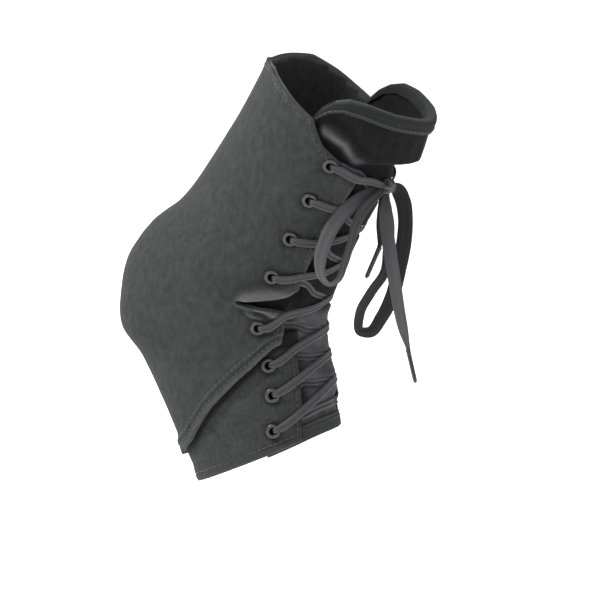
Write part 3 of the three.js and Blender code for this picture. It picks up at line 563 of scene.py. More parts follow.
SHELL_FRONT = [(2, 0.96), (2.7, 1), (3.5, 1.03), (4.8, 1.05), (5.3, 1.03), (7, 1.14), (8, 1.13), (9, 1.2)]
NOTCH = [(5.48, 0), (5.6, 0.09), (5.82, 0.2), (6.02, 0.35), (6.13, 0.58), (6.22, 0.82), (6.31, 0.97),
         (6.42, 1), (6.49, 0.95), (6.56, 0.8), (6.62, 0.56), (6.72, 0.32), (6.84, 0.14), (6.93, 0)]
EYELET_LINE = 46 * MM
EYELET_BORE = 4.4 * MM
EYELET_HOLE = 3.05 * MM
HOLE_POINTS = 24
EYELETS = [(1.86, 0.985), (2.56, 1), (3.52, 0.99), (4.96, 1.01), (7.81, 1.01), (9.98, 0.9), (11.3, 0.94),
           (12.36, 1.03)]
SHELL_ROWS = 5
SIDES = [("right", -1), ("left", 1)]
CLOTH_STEP = 1.6 * MM
EDGE_SHARE, ROW_SHARE, CLEAR_SHARE = 0.8, 0.87, 0.55
PART = 4000
DROP_PER_SECTION = 15 * MM


def shell_front(place):
    return HALF_OPENING * along(SHELL_FRONT, place)


def above_hem(place, round_way):
    front = shell_front(place)
    share = np.clip((np.abs(round_way) - front) / (half_girth(place) - front), 0, 1)
    return (along(SHELL_HEM, share) - place) * section_length(place, round_way)


def shell_rise(place, round_way):
    return LAP_RISE * smooth_step(1 - (above_hem(place, round_way) - LAP) / LAP_RAMP)


def to_flat(place, round_way):
    """The cloth laid flat: distance from the back seam, and drop down the leg."""
    side = np.where(round_way < 0, -1, 1)
    return np.stack([side * (half_girth(place) - np.abs(round_way)), -place * DROP_PER_SECTION], axis=-1)


def from_flat(flat):
    place = -flat[:, 1] / DROP_PER_SECTION
    side = np.where(flat[:, 0] < 0, -1, 1)
    return place, side * (half_girth(place) - np.abs(flat[:, 0]))


def inside_loop(points, loop):
    """Which points lie inside a closed outline."""
    x, y = points[:, 0, None], points[:, 1, None]
    x0, y0 = loop[:, 0], loop[:, 1]
    x1, y1 = np.roll(x0, -1), np.roll(y0, -1)
    rising = np.where(np.abs(y1 - y0) < 1e-12, 1e-12, y1 - y0)
    crosses = ((y0 > y) != (y1 > y)) & (x < (x1 - x0) * (y - y0) / rising + x0)
    return crosses.sum(1) % 2 == 1


def even_line(rows, spacing, dimensions=2):
    """Rows of values spaced evenly along the line that their first columns make."""
    lengths = lengths_along(rows[:, :dimensions])
    return spread_evenly(rows, lengths, max(2, round(lengths[-1] / spacing) + 1))


def in_parts(measure, points):
    """A measure of many points, taken a few thousand at a time to spare memory."""
    return np.concatenate([measure(points[i:i + PART]) for i in range(0, len(points), PART)])


def distance_to(points, line):
    """Each point's distance to the nearest point of a line."""
    return in_parts(lambda part: np.linalg.norm(part[:, None] - line[None], axis=2).min(1), points)


def cut_cloth(outline, holes, spacing):
    """Flat points and triangles of a cloth with an outline and holes, and the loops of its edges."""
    loops = [even_line(np.vstack([outline, outline[:1]]), spacing * EDGE_SHARE)[:-1], *holes]
    low, high = loops[0].min(0), loops[0].max(0)
    columns = np.arange(low[0], high[0], spacing)
    rows = np.arange(low[1], high[1], spacing * ROW_SHARE)
    grid = np.array([(x + (spacing / 2 if i % 2 else 0), y) for i, y in enumerate(rows) for x in columns])
    keep = inside_loop(grid, loops[0])
    for loop in holes:
        keep &= ~inside_loop(grid, loop)
    edge = np.vstack(loops)
    keep &= distance_to(grid, edge) > spacing * CLEAR_SHARE
    points = np.vstack([edge, grid[keep]])
    ends = np.cumsum([0, *(len(loop) for loop in loops)])
    chains = [np.arange(a, b) for a, b in zip(ends, ends[1:])]
    ties = [(int(i), int(j)) for chain in chains for i, j in zip(chain, np.roll(chain, -1))]
    found = delaunay_2d_cdt([Vector(p) for p in points], ties, [], 0, 1e-9, False)
    triangles = np.array([f for f in found[2] if len(f) == 3])
    points = np.array([tuple(p) for p in found[0]])
    centres = points[triangles].mean(1)
    good = in_parts(lambda part: inside_loop(part, loops[0]), centres)
    for loop in holes:
        good &= ~inside_loop(centres, loop)
    return points, triangles[good], chains


RIM_TURNS = np.radians([36, 72, 108, 144])
RIM_REACH = 0.8


def rim_loops(triangles, chains):
    """The loops of a cloth's edges, each taken the way that its triangles go."""
    used = {edge for a, b, c in triangles.tolist() for edge in ((a, b), (b, c), (c, a))}
    return [chain if (int(chain[0]), int(chain[1])) in used else chain[::-1] for chain in chains]


def padded_cloth(outer, inner, triangles, chains):
    """A closed cloth between two faces, with rounded rims round its edges."""
    count = len(outer)
    faces = [*triangles.tolist(), *(triangles[:, ::-1] + count).tolist()]
    points = [outer, inner]
    added = 2 * count
    for loop in rim_loops(triangles, chains):
        tangent = unit(np.roll(outer[loop], -1, axis=0) - np.roll(outer[loop], 1, axis=0))
        through = (outer[loop] - inner[loop]) / 2
        out = unit(np.cross(tangent, unit(through)))
        middle = (outer[loop] + inner[loop]) / 2
        reach = np.linalg.norm(through, axis=1, keepdims=True) * RIM_REACH
        rings = [loop]
        for turn in RIM_TURNS:
            points.append(middle + through * math.cos(turn) + out * reach * math.sin(turn))
            rings.append(added + np.arange(len(loop)))
            added += len(loop)
        rings.append(loop + count)
        for upper, lower in zip(rings, rings[1:]):
            after_upper, after_lower = np.roll(upper, -1), np.roll(lower, -1)
            faces += np.stack([upper, lower, after_lower, after_upper], axis=-1).tolist()
    return np.vstack(points), faces


def rim_values(values, chains, triangles):
    """Values of the two faces, and of the rims that padded_cloth adds."""
    out = [values, values]
    for loop in rim_loops(triangles, chains):
        out += [values[loop]] * len(RIM_TURNS)
    return np.concatenate(out)


def eyelet_place(row, side):
    section, share = EYELETS[row]
    return section, side * share * EYELET_LINE


def eyelet_hole(row, side):
    section, round_way = eyelet_place(row, side)
    turn = np.linspace(0, 2 * np.pi, HOLE_POINTS, endpoint=False)
    place = section + np.sin(turn) * EYELET_HOLE / section_length(section, round_way)
    return to_flat(place, round_way + np.cos(turn) * EYELET_HOLE)


def cloth_noise(points, scale, seed):
    """Soft noise, from -1 to 1, with lumps of a given size."""
    return np.array([noise.noise(Vector(p) / scale + Vector((seed, 0, 0))) for p in points])


TURNED_RISE, TURNED_SLOPE = 0.8 * MM, 2 * MM
SEAM_DEPTH, SEAM_WIDTH = 0.95 * MM, 0.9 * MM
HEM_BAND, HEM_SEAMS = 8 * MM, (4.2 * MM, 8.2 * MM)
EDGE_BAND, EDGE_SEAM = 4 * MM, 3.4 * MM


def edge_relief(distance, band, seams):
    """A turned and sewn edge: the cloth is thicker in the band, and drawn in along the lines of stitches."""
    raised = TURNED_RISE * (1 - smooth_step((distance - band) / TURNED_SLOPE))
    for seam in seams:
        raised = raised - SEAM_DEPTH * hump(distance, seam, SEAM_WIDTH)
    return raised


SHARP_FOLD = 1.9
ROUTE_SCALE = 15


def fold_relief(points, folds):
    """Creases and ridges: each has a route of [section, distance round in mm], a height and a width in mm."""
    height = np.zeros(len(points))
    wear_and_shading = np.zeros(len(points))
    for route, rise, width in folds:
        for side in (-1, 1):
            line = np.array([(s, side * r * MM) for s, r in route])
            line = smooth_curve(np.column_stack([line, np.zeros(len(line))]) / [1, MM * ROUTE_SCALE, 1], 0.05)
            line = off(line[:, 0], line[:, 1] * MM * ROUTE_SCALE, np.zeros(len(line)))
            ends = np.minimum(np.arange(len(line)), np.arange(len(line))[::-1]) / (len(line) / 2)
            apart = np.linalg.norm(points[:, None] - line[None], axis=2)
            nearest = apart.argmin(1)
            shape = np.exp(-(apart.min(1) / (width * MM)) ** 2) * smooth_step(ends[nearest] * 2.2 + 0.15)
            height += rise * MM * shape
            # Sharp ridges are painted lighter, partly rubbed wear and partly painted highlight, and creases
            # darker, as painted shade.
            wear_and_shading += np.sign(rise) * min(1, abs(rise) / SHARP_FOLD) ** 2 * shape
    return height, wear_and_shading


# Sewing: a lockstitch of bonded polyester thread, 3.5 mm to the stitch, drawn tight. Each stitch shows as
# 2.9 mm of thread that sinks into the cloth at both ends.
STITCH_LENGTH = 2.9 * MM
STITCH_PITCH = 3.5 * MM
STITCH_RADIUS = 0.3 * MM
STITCH_RINGS = [(-1, 0.3), (-0.8, 0.85), (-0.4, 1), (0, 1.05), (0.4, 1), (0.8, 0.85), (1, 0.3)]
STITCH_SIDES = 6
STITCH_LIFT, STITCH_SINK = 1.5, 1.4
stitch_points, stitch_faces = [], []


def sew(line, outward):
    """A row of stitches along a line of points, each lying on the cloth."""
    rows = even_line(np.column_stack([line, outward]), STITCH_PITCH, 3)
    turn = np.arange(STITCH_SIDES) / STITCH_SIDES * 2 * np.pi
    count = sum(len(p) for p in stitch_points)
    centres = (rows[1:, :3] + rows[:-1, :3]) / 2
    ways = unit(rows[1:, :3] - rows[:-1, :3])
    outs = unit(rows[1:, 3:] + rows[:-1, 3:])
    for centre, way, out in zip(centres, ways, outs):
        side = np.cross(way, out)
        for share, size in STITCH_RINGS:
            height = STITCH_LIFT - STITCH_SINK * share ** 4
            middle = centre + way * share * STITCH_LENGTH / 2 + out * STITCH_RADIUS * height
            ring = middle + STITCH_RADIUS * size * (
                side[None] * np.cos(turn)[:, None] + out[None] * np.sin(turn)[:, None])
            stitch_points.append(ring)
        index = count + np.arange(len(STITCH_RINGS) * STITCH_SIDES).reshape(len(STITCH_RINGS), STITCH_SIDES)
        stitch_faces.extend(wall_faces(index))
        stitch_faces.extend([index[0].tolist(), index[-1][::-1].tolist()])
        count += len(STITCH_RINGS) * STITCH_SIDES


# The canvas: plain-woven 1000-denier nylon over a thin foam, matt and a little mottled, and lighter where its
# edges have been rubbed. Sharp folds are painted lighter, partly rubbed wear and partly painted highlight,
# and the hem's ridges lighter as painted highlight. Creases, the hem's stitch grooves, the cloth below each
# strand of lace and each eyelet and the forefoot under the shell's hem are painted darker, as painted shade.
# Its threads are about 0.5 mm wide and are drawn 1.5 mm wide to show.
CANVAS_THREAD = 1.5 * MM
canvas, tree, shader = start_material("woven_nylon_canvas", Roughness=0.9, IOR=1.35)
places = add_node(tree, "ShaderNodeUVMap", {"uv_map": "cloth"})
split = add_node(tree, "ShaderNodeSeparateXYZ", links={"Vector": places.outputs["UV"]})
threads = []
for axis in ("X", "Y"):
    scaled = add_node(tree, "ShaderNodeMath", {"operation": "MULTIPLY"}, {
        0: split.outputs[axis], 1: math.pi / CANVAS_THREAD,
    })
    threads.append(add_node(tree, "ShaderNodeMath", {"operation": "SINE"}, {0: scaled.outputs[0]}))
weave = add_node(tree, "ShaderNodeMath", {"operation": "MULTIPLY"}, {
    0: threads[0].outputs[0], 1: threads[1].outputs[0],
})
fibre = add_node(tree, "ShaderNodeTexNoise", links={"Scale": 850.0, "Detail": 3.0})
relief = add_node(tree, "ShaderNodeMath", {"operation": "MULTIPLY_ADD"}, {
    0: fibre.outputs["Fac"], 1: 1.2, 2: weave.outputs[0],
})
bump = add_node(tree, "ShaderNodeBump", links={
    "Strength": 0.5, "Distance": 0.14 * MM, "Height": relief.outputs[0],
})
tree.links.new(bump.outputs["Normal"], shader.inputs["Normal"])
lumps = add_node(tree, "ShaderNodeTexNoise", links={"Scale": 42.0, "Detail": 5.0, "Roughness": 0.6})
specks = add_node(tree, "ShaderNodeTexNoise", links={"Scale": 420.0, "Detail": 2.0})
mixed = add_node(tree, "ShaderNodeMath", {"operation": "MULTIPLY_ADD"}, {
    0: specks.outputs["Fac"], 1: 0.45, 2: lumps.outputs["Fac"],
})
cloth_colour = colour_ramp(tree, mixed.outputs[0], [(0.5, "#272827"), (0.95, "#383a39")])
worn_and_shaded = add_node(tree, "ShaderNodeAttribute", {"attribute_name": "wear_and_shading"})
unshaded_share = add_node(tree, "ShaderNodeMath", {"operation": "ADD"}, {0: worn_and_shaded.outputs["Fac"], 1: 1.0})
# Painted shade: below zero the attribute mixes the canvas toward near black.
painted_shade_mix = add_node(tree, "ShaderNodeMix", {"data_type": "RGBA", "clamp_factor": True}, {
    0: unshaded_share.outputs[0], 6: linear("#0d0d0e"), 7: cloth_colour,
})
# Above zero it mixes toward light grey: rubbed edges, and painted highlight on sharp folds and the hem's
# ridges.
rubbed_and_lit = add_node(tree, "ShaderNodeMix", {"data_type": "RGBA", "clamp_factor": True}, {
    0: worn_and_shaded.outputs["Fac"], 6: painted_shade_mix.outputs[2], 7: linear("#5a5c5b"),
})
tree.links.new(rubbed_and_lit.outputs[2], shader.inputs["Base Color"])


def round_at(share, place):
    front = shell_front(place)
    return front + (half_girth(place) - front) * share


def edge_line(pairs, count=90):
    """One side of an edge of the shell from the front to the back, as places and distances round."""
    share = np.linspace(0, 1, count)
    place = along(pairs, share)
    return np.column_stack([place, round_at(share, place)])


def both_sides(line):
    """A line on the wearer's left from the front to the back, and on round the right to the front."""
    return np.vstack([line, (line * [1, -1])[::-1][1:]])


notch_rows = np.array([[place * DROP_PER_SECTION, shell_front(place) + share * NOTCH_DEPTH, 0]
                       for place, share in NOTCH])
notch_line = smooth_curve(notch_rows, 1 * MM)[:, :2] / [DROP_PER_SECTION, 1]
upper_front = np.linspace(TOP_EDGE[0][1], NOTCH[0][0], 40)
lower_front = np.linspace(NOTCH[-1][0], SHELL_HEM[0][1], 20)
front_line = np.vstack([
    np.column_stack([upper_front, shell_front(upper_front)])[:-1], notch_line,
    np.column_stack([lower_front, shell_front(lower_front)])[1:],
])
top_line = edge_line(TOP_EDGE)
hem_line = edge_line(SHELL_HEM)
outline = np.vstack([
    both_sides(top_line)[:-1], (front_line * [1, -1])[:-1], (both_sides(hem_line) * [1, -1])[:-1],
    front_line[::-1][:-1],
])


def raised_line(line, rise):
    """Both sides of a line, on the cloth."""
    sided = np.vstack([line, line * [1, -1]])
    return off(sided[:, 0], sided[:, 1], rise(sided[:, 0], sided[:, 1]))


PRESSED_FLAT, PRESSED_SLOPE = 3.8 * MM, 3 * MM
DIMPLE_DEPTH, DIMPLE_AT, DIMPLE_SPREAD = 0.8 * MM, 5.4 * MM, 1.2 * MM


def eyelet_relief(points, rows, rise):
    """How much of the relief is kept round each eyelet, and the dimple that its flange presses."""
    kept = np.ones(len(points))
    dimple = np.zeros(len(points))
    for row in rows:
        for side in (-1, 1):
            section, round_way = eyelet_place(row, side)
            apart = np.linalg.norm(points - off(section, round_way, rise(section, round_way)), axis=1)
            kept = np.minimum(kept, smooth_step((apart - PRESSED_FLAT) / PRESSED_SLOPE))
            dimple -= DIMPLE_DEPTH * hump(apart, DIMPLE_AT, DIMPLE_SPREAD)
    return kept, dimple


# Each strand crosses the panel's edge at one of these places, and below it and its eyelet the cloth is
# painted darker, as painted shadow.
EDGE_CROSSINGS = [1.98, 2.6, 3.45, 4.73, 7.15, 9.5, 11.08, 12.23]
SHADOW_BAND = 1.3 * MM
LACE_SHADOW = (3 * MM, 0.75)
EYELET_SHADOW = (5.1 * MM, 0.8)
STRAND_POINTS = 14


def painted_shadow(points, rows, front, rise):
    """How much painted shadow darkens the cloth on the low side of each strand of lace and of each eyelet."""
    dark = np.zeros(len(points))
    for row in rows:
        for side in (-1, 1):
            section, round_way = eyelet_place(row, side)
            share = np.linspace(0, 1, STRAND_POINTS)
            place = section + (EDGE_CROSSINGS[row] - section) * share
            way = round_way + (side * front(place) - round_way) * share
            strand = off(place, way, rise(place, way))
            for line, (at, strength) in ((strand, LACE_SHADOW), (strand[:1], EYELET_SHADOW)):
                apart = points[:, None] - line[None]
                distances = np.linalg.norm(apart, axis=2)
                nearest = distances.argmin(1)[:, None]
                distance = np.take_along_axis(distances, nearest, 1)[:, 0]
                drop = -np.take_along_axis(apart[..., 2], nearest, 1)[:, 0]
                lower = np.clip(drop / np.maximum(distance, MM), 0, 1)
                dark = np.maximum(dark, strength * lower * hump(distance, at, SHADOW_BAND))
    return dark


SHELL_FOLDS = [
    ([(5.48, 30), (5.66, 38), (5.9, 49), (6.28, 62)], 3.4, 2.8),
    ([(4.95, 36), (5.1, 46), (5.5, 57), (6.0, 66)], -1.0, 3.0),
    ([(6.6, 52), (6.72, 45.3), (7.05, 39), (7.25, 33.8)], 1.9, 1.7),
    ([(6.95, 55.5), (7.2, 49.7), (7.5, 43.5)], 1.7, 1.6),
    ([(6.75, 60), (7.05, 55), (7.4, 48.5), (7.62, 43)], -1.4, 1.5),
    ([(6.9, 50), (7.02, 46), (7.3, 40.5)], -1.5, 1.1),
    ([(6.1, 72), (6.3, 66), (6.45, 60.5)], -0.9, 2.6),
    ([(8.2, 37), (8.6, 40), (8.95, 45)], 0.8, 2.2),
    ([(8.0, 128), (8.25, 112), (8.6, 98)], -0.7, 4.0),
    ([(4.2, 128), (4.4, 112), (4.8, 97)], -0.5, 5.0),
    ([(3.2, 120), (3.5, 104), (4.0, 90)], 0.5, 6.0),
    ([(9.3, 120), (9.6, 104), (9.9, 88)], 0.5, 5.0),
    ([(2.2, 52), (2.6, 62), (3.2, 74)], 0.35, 5.0),
    ([(4.6, 54), (4.9, 66), (5.1, 80)], 0.35, 5.0),
]
SHELL_LUMPS = [(0.4 * MM, 28 * MM, 3), (0.16 * MM, 9 * MM, 7)]
LINING_FOLLOWS = 0.8
EDGE_WEAR, WORN_EDGE = 0.6, 1.1 * MM
FOLD_WEAR_AND_SHADING, DEEPEST_CREASE = 0.8, -0.6
# Painted shade in the hem's two stitch grooves and painted highlight on the ridges beside them.
HEM_SHADING_WIDTH = 1.2 * MM
HEM_BAND_SHADING = [(4.2 * MM, -0.35), (8.2 * MM, -0.35), (6.2 * MM, 0.22), (2 * MM, 0.22)]

holes = [eyelet_hole(row, side) for row in range(SHELL_ROWS) for _, side in SIDES]
flat, triangles, chains = cut_cloth(to_flat(outline[:, 0], outline[:, 1]), holes, CLOTH_STEP)
place, round_way = from_flat(flat)
rise = shell_rise(place, round_way)
base = off(place, round_way, rise)
to_hem = distance_to(base, raised_line(hem_line, shell_rise))
to_top = distance_to(base, raised_line(top_line, shell_rise))
to_front = distance_to(base, raised_line(front_line, shell_rise))
folds, fold_wear_and_shading = fold_relief(base, SHELL_FOLDS)
kept, dimple = eyelet_relief(base, range(SHELL_ROWS), shell_rise)
soft = sum(high * cloth_noise(base, lump, seed) for high, lump, seed in SHELL_LUMPS)
hem_edge = edge_relief(to_hem, HEM_BAND, HEM_SEAMS)
front_edge = edge_relief(to_front, EDGE_BAND, [EDGE_SEAM])
edges = np.maximum(np.maximum(hem_edge, front_edge), edge_relief(to_top, EDGE_BAND, [EDGE_SEAM]))
edges += np.minimum(np.minimum(hem_edge, front_edge), 0)
height = (edges + folds + soft) * kept + dimple
outer = off(place, round_way, rise + height)
inner = off(place, round_way, rise - SHELL_CLOTH + np.clip(folds, 0, None) * kept * LINING_FOLLOWS)
nearest_edge = np.minimum(np.minimum(to_hem, to_front), to_top)
# Rubbed edges are lighter; sharp folds carry painted highlight and creases painted shade.
wear_and_shading = EDGE_WEAR * hump(nearest_edge, 0, WORN_EDGE) + FOLD_WEAR_AND_SHADING * np.clip(fold_wear_and_shading, DEEPEST_CREASE, 1) * kept
# Painted shade in the hem's stitch grooves and painted highlight on its ridges.
wear_and_shading += sum(amount * hump(to_hem, at, HEM_SHADING_WIDTH) for at, amount in HEM_BAND_SHADING)
# Painted shadow below the strands of lace and the eyelets.
wear_and_shading -= painted_shadow(base, range(SHELL_ROWS), shell_front, shell_rise)
points, faces = padded_cloth(outer, inner, triangles, chains)
drop = look_up(form_drops, place, np.abs(round_way) / half_girth(place))
uv = rim_values(np.column_stack([flat[:, 0], drop]), chains, triangles)
shell = add_piece("shell_panel", points, faces, canvas, uv, rim_values(wear_and_shading, chains, triangles))
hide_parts("shell")


def sew_along(line, rise):
    """A row of stitches along places and distances round."""
    place, round_way = line.T
    sew(off(place, round_way, rise(place, round_way)), normal_at(place, round_way))


def below(line, distance):
    """A line moved down the leg by a distance."""
    return np.column_stack([line[:, 0] + distance / section_length(line[:, 0], line[:, 1]), line[:, 1]])


for seam in HEM_SEAMS:
    sew_along(below(both_sides(hem_line[3:]), -seam), shell_rise)
sew_along(below(both_sides(top_line[6:]), EDGE_SEAM), shell_rise)
for part in (upper_front[2:-1], lower_front[1:-1]):
    for _, side in SIDES:
        sew_along(np.column_stack([part, side * (shell_front(part) + EDGE_SEAM)]), shell_rise)

# Forefoot panel: the same canvas, 2.2 mm thick, wrapped round the arch. Its top goes up under the shell's
# hem, where the hem presses it in, and its front edges carry the last three rows of eyelets.
FOREFOOT_CLOTH = 2.2 * MM
FOOT_EDGE = 12.87
FOREFOOT_FRONT = [(7.5, 0.78), (9, 0.83), (10.9, 0.88), (12.1, 1), (12.87, 1.14)]
FRONT_SEAM = 3.2 * MM
FOOT_BAND, FOOT_SEAM, FOOT_WEAR = 5 * MM, 4.2 * MM, 0.5
FOREFOOT_LUMPS = [(0.35 * MM, 26 * MM, 11), (0.16 * MM, 9 * MM, 5)]
FREE_SLOPE, FREE_FRONT_SLOPE, FREE_FRONT = 4 * MM, 2 * MM, 0.4
# Painted shadow cast by the shell's hem: how far below the hem it reaches, and its soft edge.
HEM_SHADOW, HEM_SHADOW_SLOPE = 5.5 * MM, 3 * MM
FOREFOOT_FOLDS = [
    ([(11.27, 90.5), (11.67, 84.8), (12.06, 81.7)], -0.7, 2.5),
    ([(10.9, 72), (11.2, 63), (11.4, 54)], 0.5, 4.0),
    ([(11.6, 70), (11.8, 60), (11.85, 52)], -0.4, 3.0),
    ([(10.6, 40), (10.8, 34), (11.0, 29)], 0.5, 2.0),
    ([(11.8, 43), (11.9, 37), (12.0, 31)], 0.5, 2.0),
    ([(12.3, 60), (12.4, 72), (12.45, 86)], 0.4, 3.5),
]


def forefoot_front(place):
    return HALF_OPENING * along(FOREFOOT_FRONT, place)


def forefoot_rise(place, round_way):
    return -LAP_SINK * smooth_step(1 + (above_hem(place, round_way) + PRESSED_BELOW) / LAP_RAMP)


top_places = below(hem_line, -LAP)
front_top = top_places[0, 0]
front_places = np.linspace(front_top, FOOT_EDGE, 60)
forefoot_edge = np.column_stack([front_places, forefoot_front(front_places)])
foot_round = np.linspace(forefoot_front(FOOT_EDGE), half_girth(FOOT_EDGE), 90)
foot_line = np.column_stack([np.full(len(foot_round), FOOT_EDGE), foot_round])
tucked_line = np.vstack([forefoot_edge[:1], top_places])
outline = np.vstack([
    both_sides(tucked_line)[:-1], (forefoot_edge * [1, -1])[:-1], (both_sides(foot_line) * [1, -1])[:-1],
    forefoot_edge[::-1][:-1],
])
holes = [eyelet_hole(row, side) for row in range(SHELL_ROWS, len(EYELETS)) for _, side in SIDES]
flat, triangles, chains = cut_cloth(to_flat(outline[:, 0], outline[:, 1]), holes, CLOTH_STEP)
place, round_way = from_flat(flat)
rise = forefoot_rise(place, round_way)
base = off(place, round_way, rise)
to_front = distance_to(base, raised_line(forefoot_edge, forefoot_rise))
to_foot = distance_to(base, raised_line(foot_line, forefoot_rise))
folds, fold_wear_and_shading = fold_relief(base, FOREFOOT_FOLDS)
kept, dimple = eyelet_relief(base, range(SHELL_ROWS, len(EYELETS)), forefoot_rise)
soft = sum(high * cloth_noise(base, lump, seed) for high, lump, seed in FOREFOOT_LUMPS)
past_hem = -above_hem(place, round_way)
past_front = shell_front(place) - np.abs(round_way)
free = np.maximum(smooth_step(past_hem / FREE_SLOPE), smooth_step(past_front / FREE_FRONT_SLOPE) * FREE_FRONT)
edges = edge_relief(to_front, EDGE_BAND, [FRONT_SEAM]) + edge_relief(to_foot, FOOT_BAND, [FOOT_SEAM])
height = (edges + folds + soft) * kept * free + dimple
outer = off(place, round_way, rise + height)
inner = off(place, round_way, rise - FOREFOOT_CLOTH)
wear_and_shading = FOOT_WEAR * hump(to_foot, 0, WORN_EDGE) + FOLD_WEAR_AND_SHADING * np.clip(fold_wear_and_shading, DEEPEST_CREASE, 1) * kept
# Painted shadow: the forefoot is darkened under the shell's hem and for a few millimetres below it.
wear_and_shading -= smooth_step((HEM_SHADOW - past_hem) / HEM_SHADOW_SLOPE)
# Painted shadow below the strands of lace and the eyelets.
wear_and_shading -= painted_shadow(base, range(SHELL_ROWS, len(EYELETS)), forefoot_front, forefoot_rise)
points, faces = padded_cloth(outer, inner, triangles, chains)
drop = look_up(form_drops, place, np.abs(round_way) / half_girth(place))
uv = rim_values(np.column_stack([flat[:, 0], drop]), chains, triangles)
forefoot = add_piece("forefoot_wrap", points, faces, canvas, uv, rim_values(wear_and_shading, chains, triangles))
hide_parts("forefoot_panel")
sew_along(below(both_sides(foot_line[3:]), -FOOT_SEAM), forefoot_rise)
part = front_places[16:-2]
for _, side in SIDES:
    sew_along(np.column_stack([part, side * (forefoot_front(part) + FRONT_SEAM)]), forefoot_rise)

# Eyelets: each is one piece of brass, drawn into a tube and a rolled flange, enamelled dark grey, set through
# the cloth and rolled out behind. There are eight a side, 8.6 mm across.
EYELET_SIDES = 48
ENAMEL_FLANGE = 4.3 * MM
ENAMEL_TUBE = 2.7 * MM
PROUD_MARGIN = 1.4

enamel, tree, shader = start_material(
    "enamelled_brass", Roughness=0.38, IOR=1.5, Metallic=0.35, Coat_Weight=0.25)
chips = add_node(tree, "ShaderNodeTexNoise", links={"Scale": 600.0, "Detail": 4.0})
tree.links.new(
    colour_ramp(tree, chips.outputs["Fac"], [(0.35, "#313033"), (0.7, "#4a494c")]),
    shader.inputs["Base Color"],
)
bump = add_node(tree, "ShaderNodeBump", links={
    "Strength": 0.2, "Distance": 0.05 * MM, "Height": chips.outputs["Fac"],
})
tree.links.new(bump.outputs["Normal"], shader.inputs["Normal"])


def eyelet_seat(row, side):
    """An eyelet's middle, the way out of the cloth there, and how far the cloth round it stands proud."""
    section, round_way = eyelet_place(row, side)
    rise = shell_rise if row < SHELL_ROWS else forefoot_rise
    drop_share = ENAMEL_FLANGE / section_length(section, round_way)

    def surface(down_by, across_by):
        place, way = section + down_by * drop_share, round_way + across_by * ENAMEL_FLANGE
        return off(place, way, rise(place, way))

    middle = surface(0, 0)
    outward = unit(np.cross(surface(1, 0) - surface(-1, 0), surface(0, 1) - surface(0, -1)))
    around = np.radians(np.arange(0, 360, 45))
    proud = max(0, *(float((surface(math.cos(a), math.sin(a)) - middle) @ outward) for a in around))
    return middle, outward, PROUD_MARGIN * proud


for row in range(len(EYELETS)):
    for word, side in SIDES:
        middle, outward, proud = eyelet_seat(row, side)
        seat = GAP + SLACK + proud
        back = -SHELL_CLOTH - GAP
        bore = EYELET_BORE / 2
        profile = [
            (back - 0.25 * MM, bore), (back - 0.42 * MM, bore + 0.25 * MM), (back - 0.4 * MM, 3.1 * MM),
            (back - 0.2 * MM, 3.4 * MM), (back, 3.35 * MM), (back, ENAMEL_TUBE), (seat, ENAMEL_TUBE),
            (seat, 4.0 * MM), (seat + 0.08 * MM, 4.22 * MM), (seat + 0.25 * MM, ENAMEL_FLANGE),
            (seat + 0.45 * MM, 4.2 * MM), (seat + 0.72 * MM, 3.8 * MM), (seat + 0.86 * MM, 3.35 * MM),
            (seat + 0.84 * MM, 2.95 * MM), (seat + 0.65 * MM, 2.55 * MM), (seat + 0.3 * MM, 2.3 * MM),
            (seat - 0.4 * MM, bore), (back - 0.25 * MM, bore),
        ]
        points, faces = turned_mesh(profile, middle, outward, EYELET_SIDES)
        piece = add_piece(f"{word}_eyelet_{row + 1}", points, faces, enamel)
        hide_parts(f"eyelet_{word}_{row + 1}")

# Lacing: each half of the lace starts under the middle of the lowest row and comes up through each eyelet in
# turn. From there it lies over the panel's edge, crosses the tongue and goes down under the other panel. It
# ends at the knot. It is painted dark where it lies deep, under the panels and under the crossing strands, as
# painted shade, and lighter where it stands proud.
LACE_TIGHT_WIDTH = 5 * MM
LACE_BORE_WIDTH = 2.9 * MM
LACE_TIGHT_GROOVE = 0.44
PROUD_LACE_LIGHTNESS = 0.78
BURIED_LACE_SHADE = 0.32
LACE_BORE_THICKNESS = 1.7 * MM
TONGUE_SWELL = 2.9 * MM
TONGUE_SWELL_REACH = 24 * MM
LACE_UNDER = -(SHELL_CLOTH + 0.4 * MM + 2 * GAP + LACE_THICKNESS / 2 + SLACK)
TONGUE_FACE = LACE_UNDER - LACE_THICKNESS / 2 - GAP - 2 * SLACK
LACE_ON_CLOTH = GAP + LACE_THICKNESS / 2 + SLACK
LACE_OVER_FLANGE = 0.6 * MM + 2 * GAP + LACE_THICKNESS / 2 + 2 * SLACK
LACE_LOWER = TONGUE_FACE + TONGUE_SWELL + LACE_THICKNESS / 2 + 2 * GAP
LACE_UPPER = LACE_LOWER + LACE_THICKNESS + 2 * GAP
BORE_SHIFT = 0.8 * MM
UNDER_STEPS = [(5.8 * MM, LACE_UNDER, 0.9), (2.6 * MM, LACE_UNDER - 0.15 * MM, 0.5),
               (BORE_SHIFT, LACE_UNDER + 0.95 * MM, 0.05)]
OVER_STEPS = [(BORE_SHIFT, 0.6 * MM, 0), (1.7 * MM, LACE_OVER_FLANGE - 0.2 * MM, 0.25),
              (4.6 * MM, LACE_OVER_FLANGE, 0.85)]
CROSSING = [(0.52, 0.6, 0), (0.2, 0, 0), (-0.16, 0, 0), (-0.34, -0.22, -0.2), (-0.5, -0.5, -0.46)]
CROSSED = 0.85
DIVE = 21 * MM
UNDER_PANEL = 31 * MM
LACE_START = [(0.25 * MM, LACE_LOWER - GAP), (5 * MM, LACE_LOWER - GAP),
              (13 * MM, LACE_LOWER * 0.2 + LACE_UNDER * 0.8), (22 * MM, LACE_UNDER), (34 * MM, LACE_UNDER)]
KNOT_AT = (2.02, -5 * MM)
KNOT_WIDE = 8 * MM
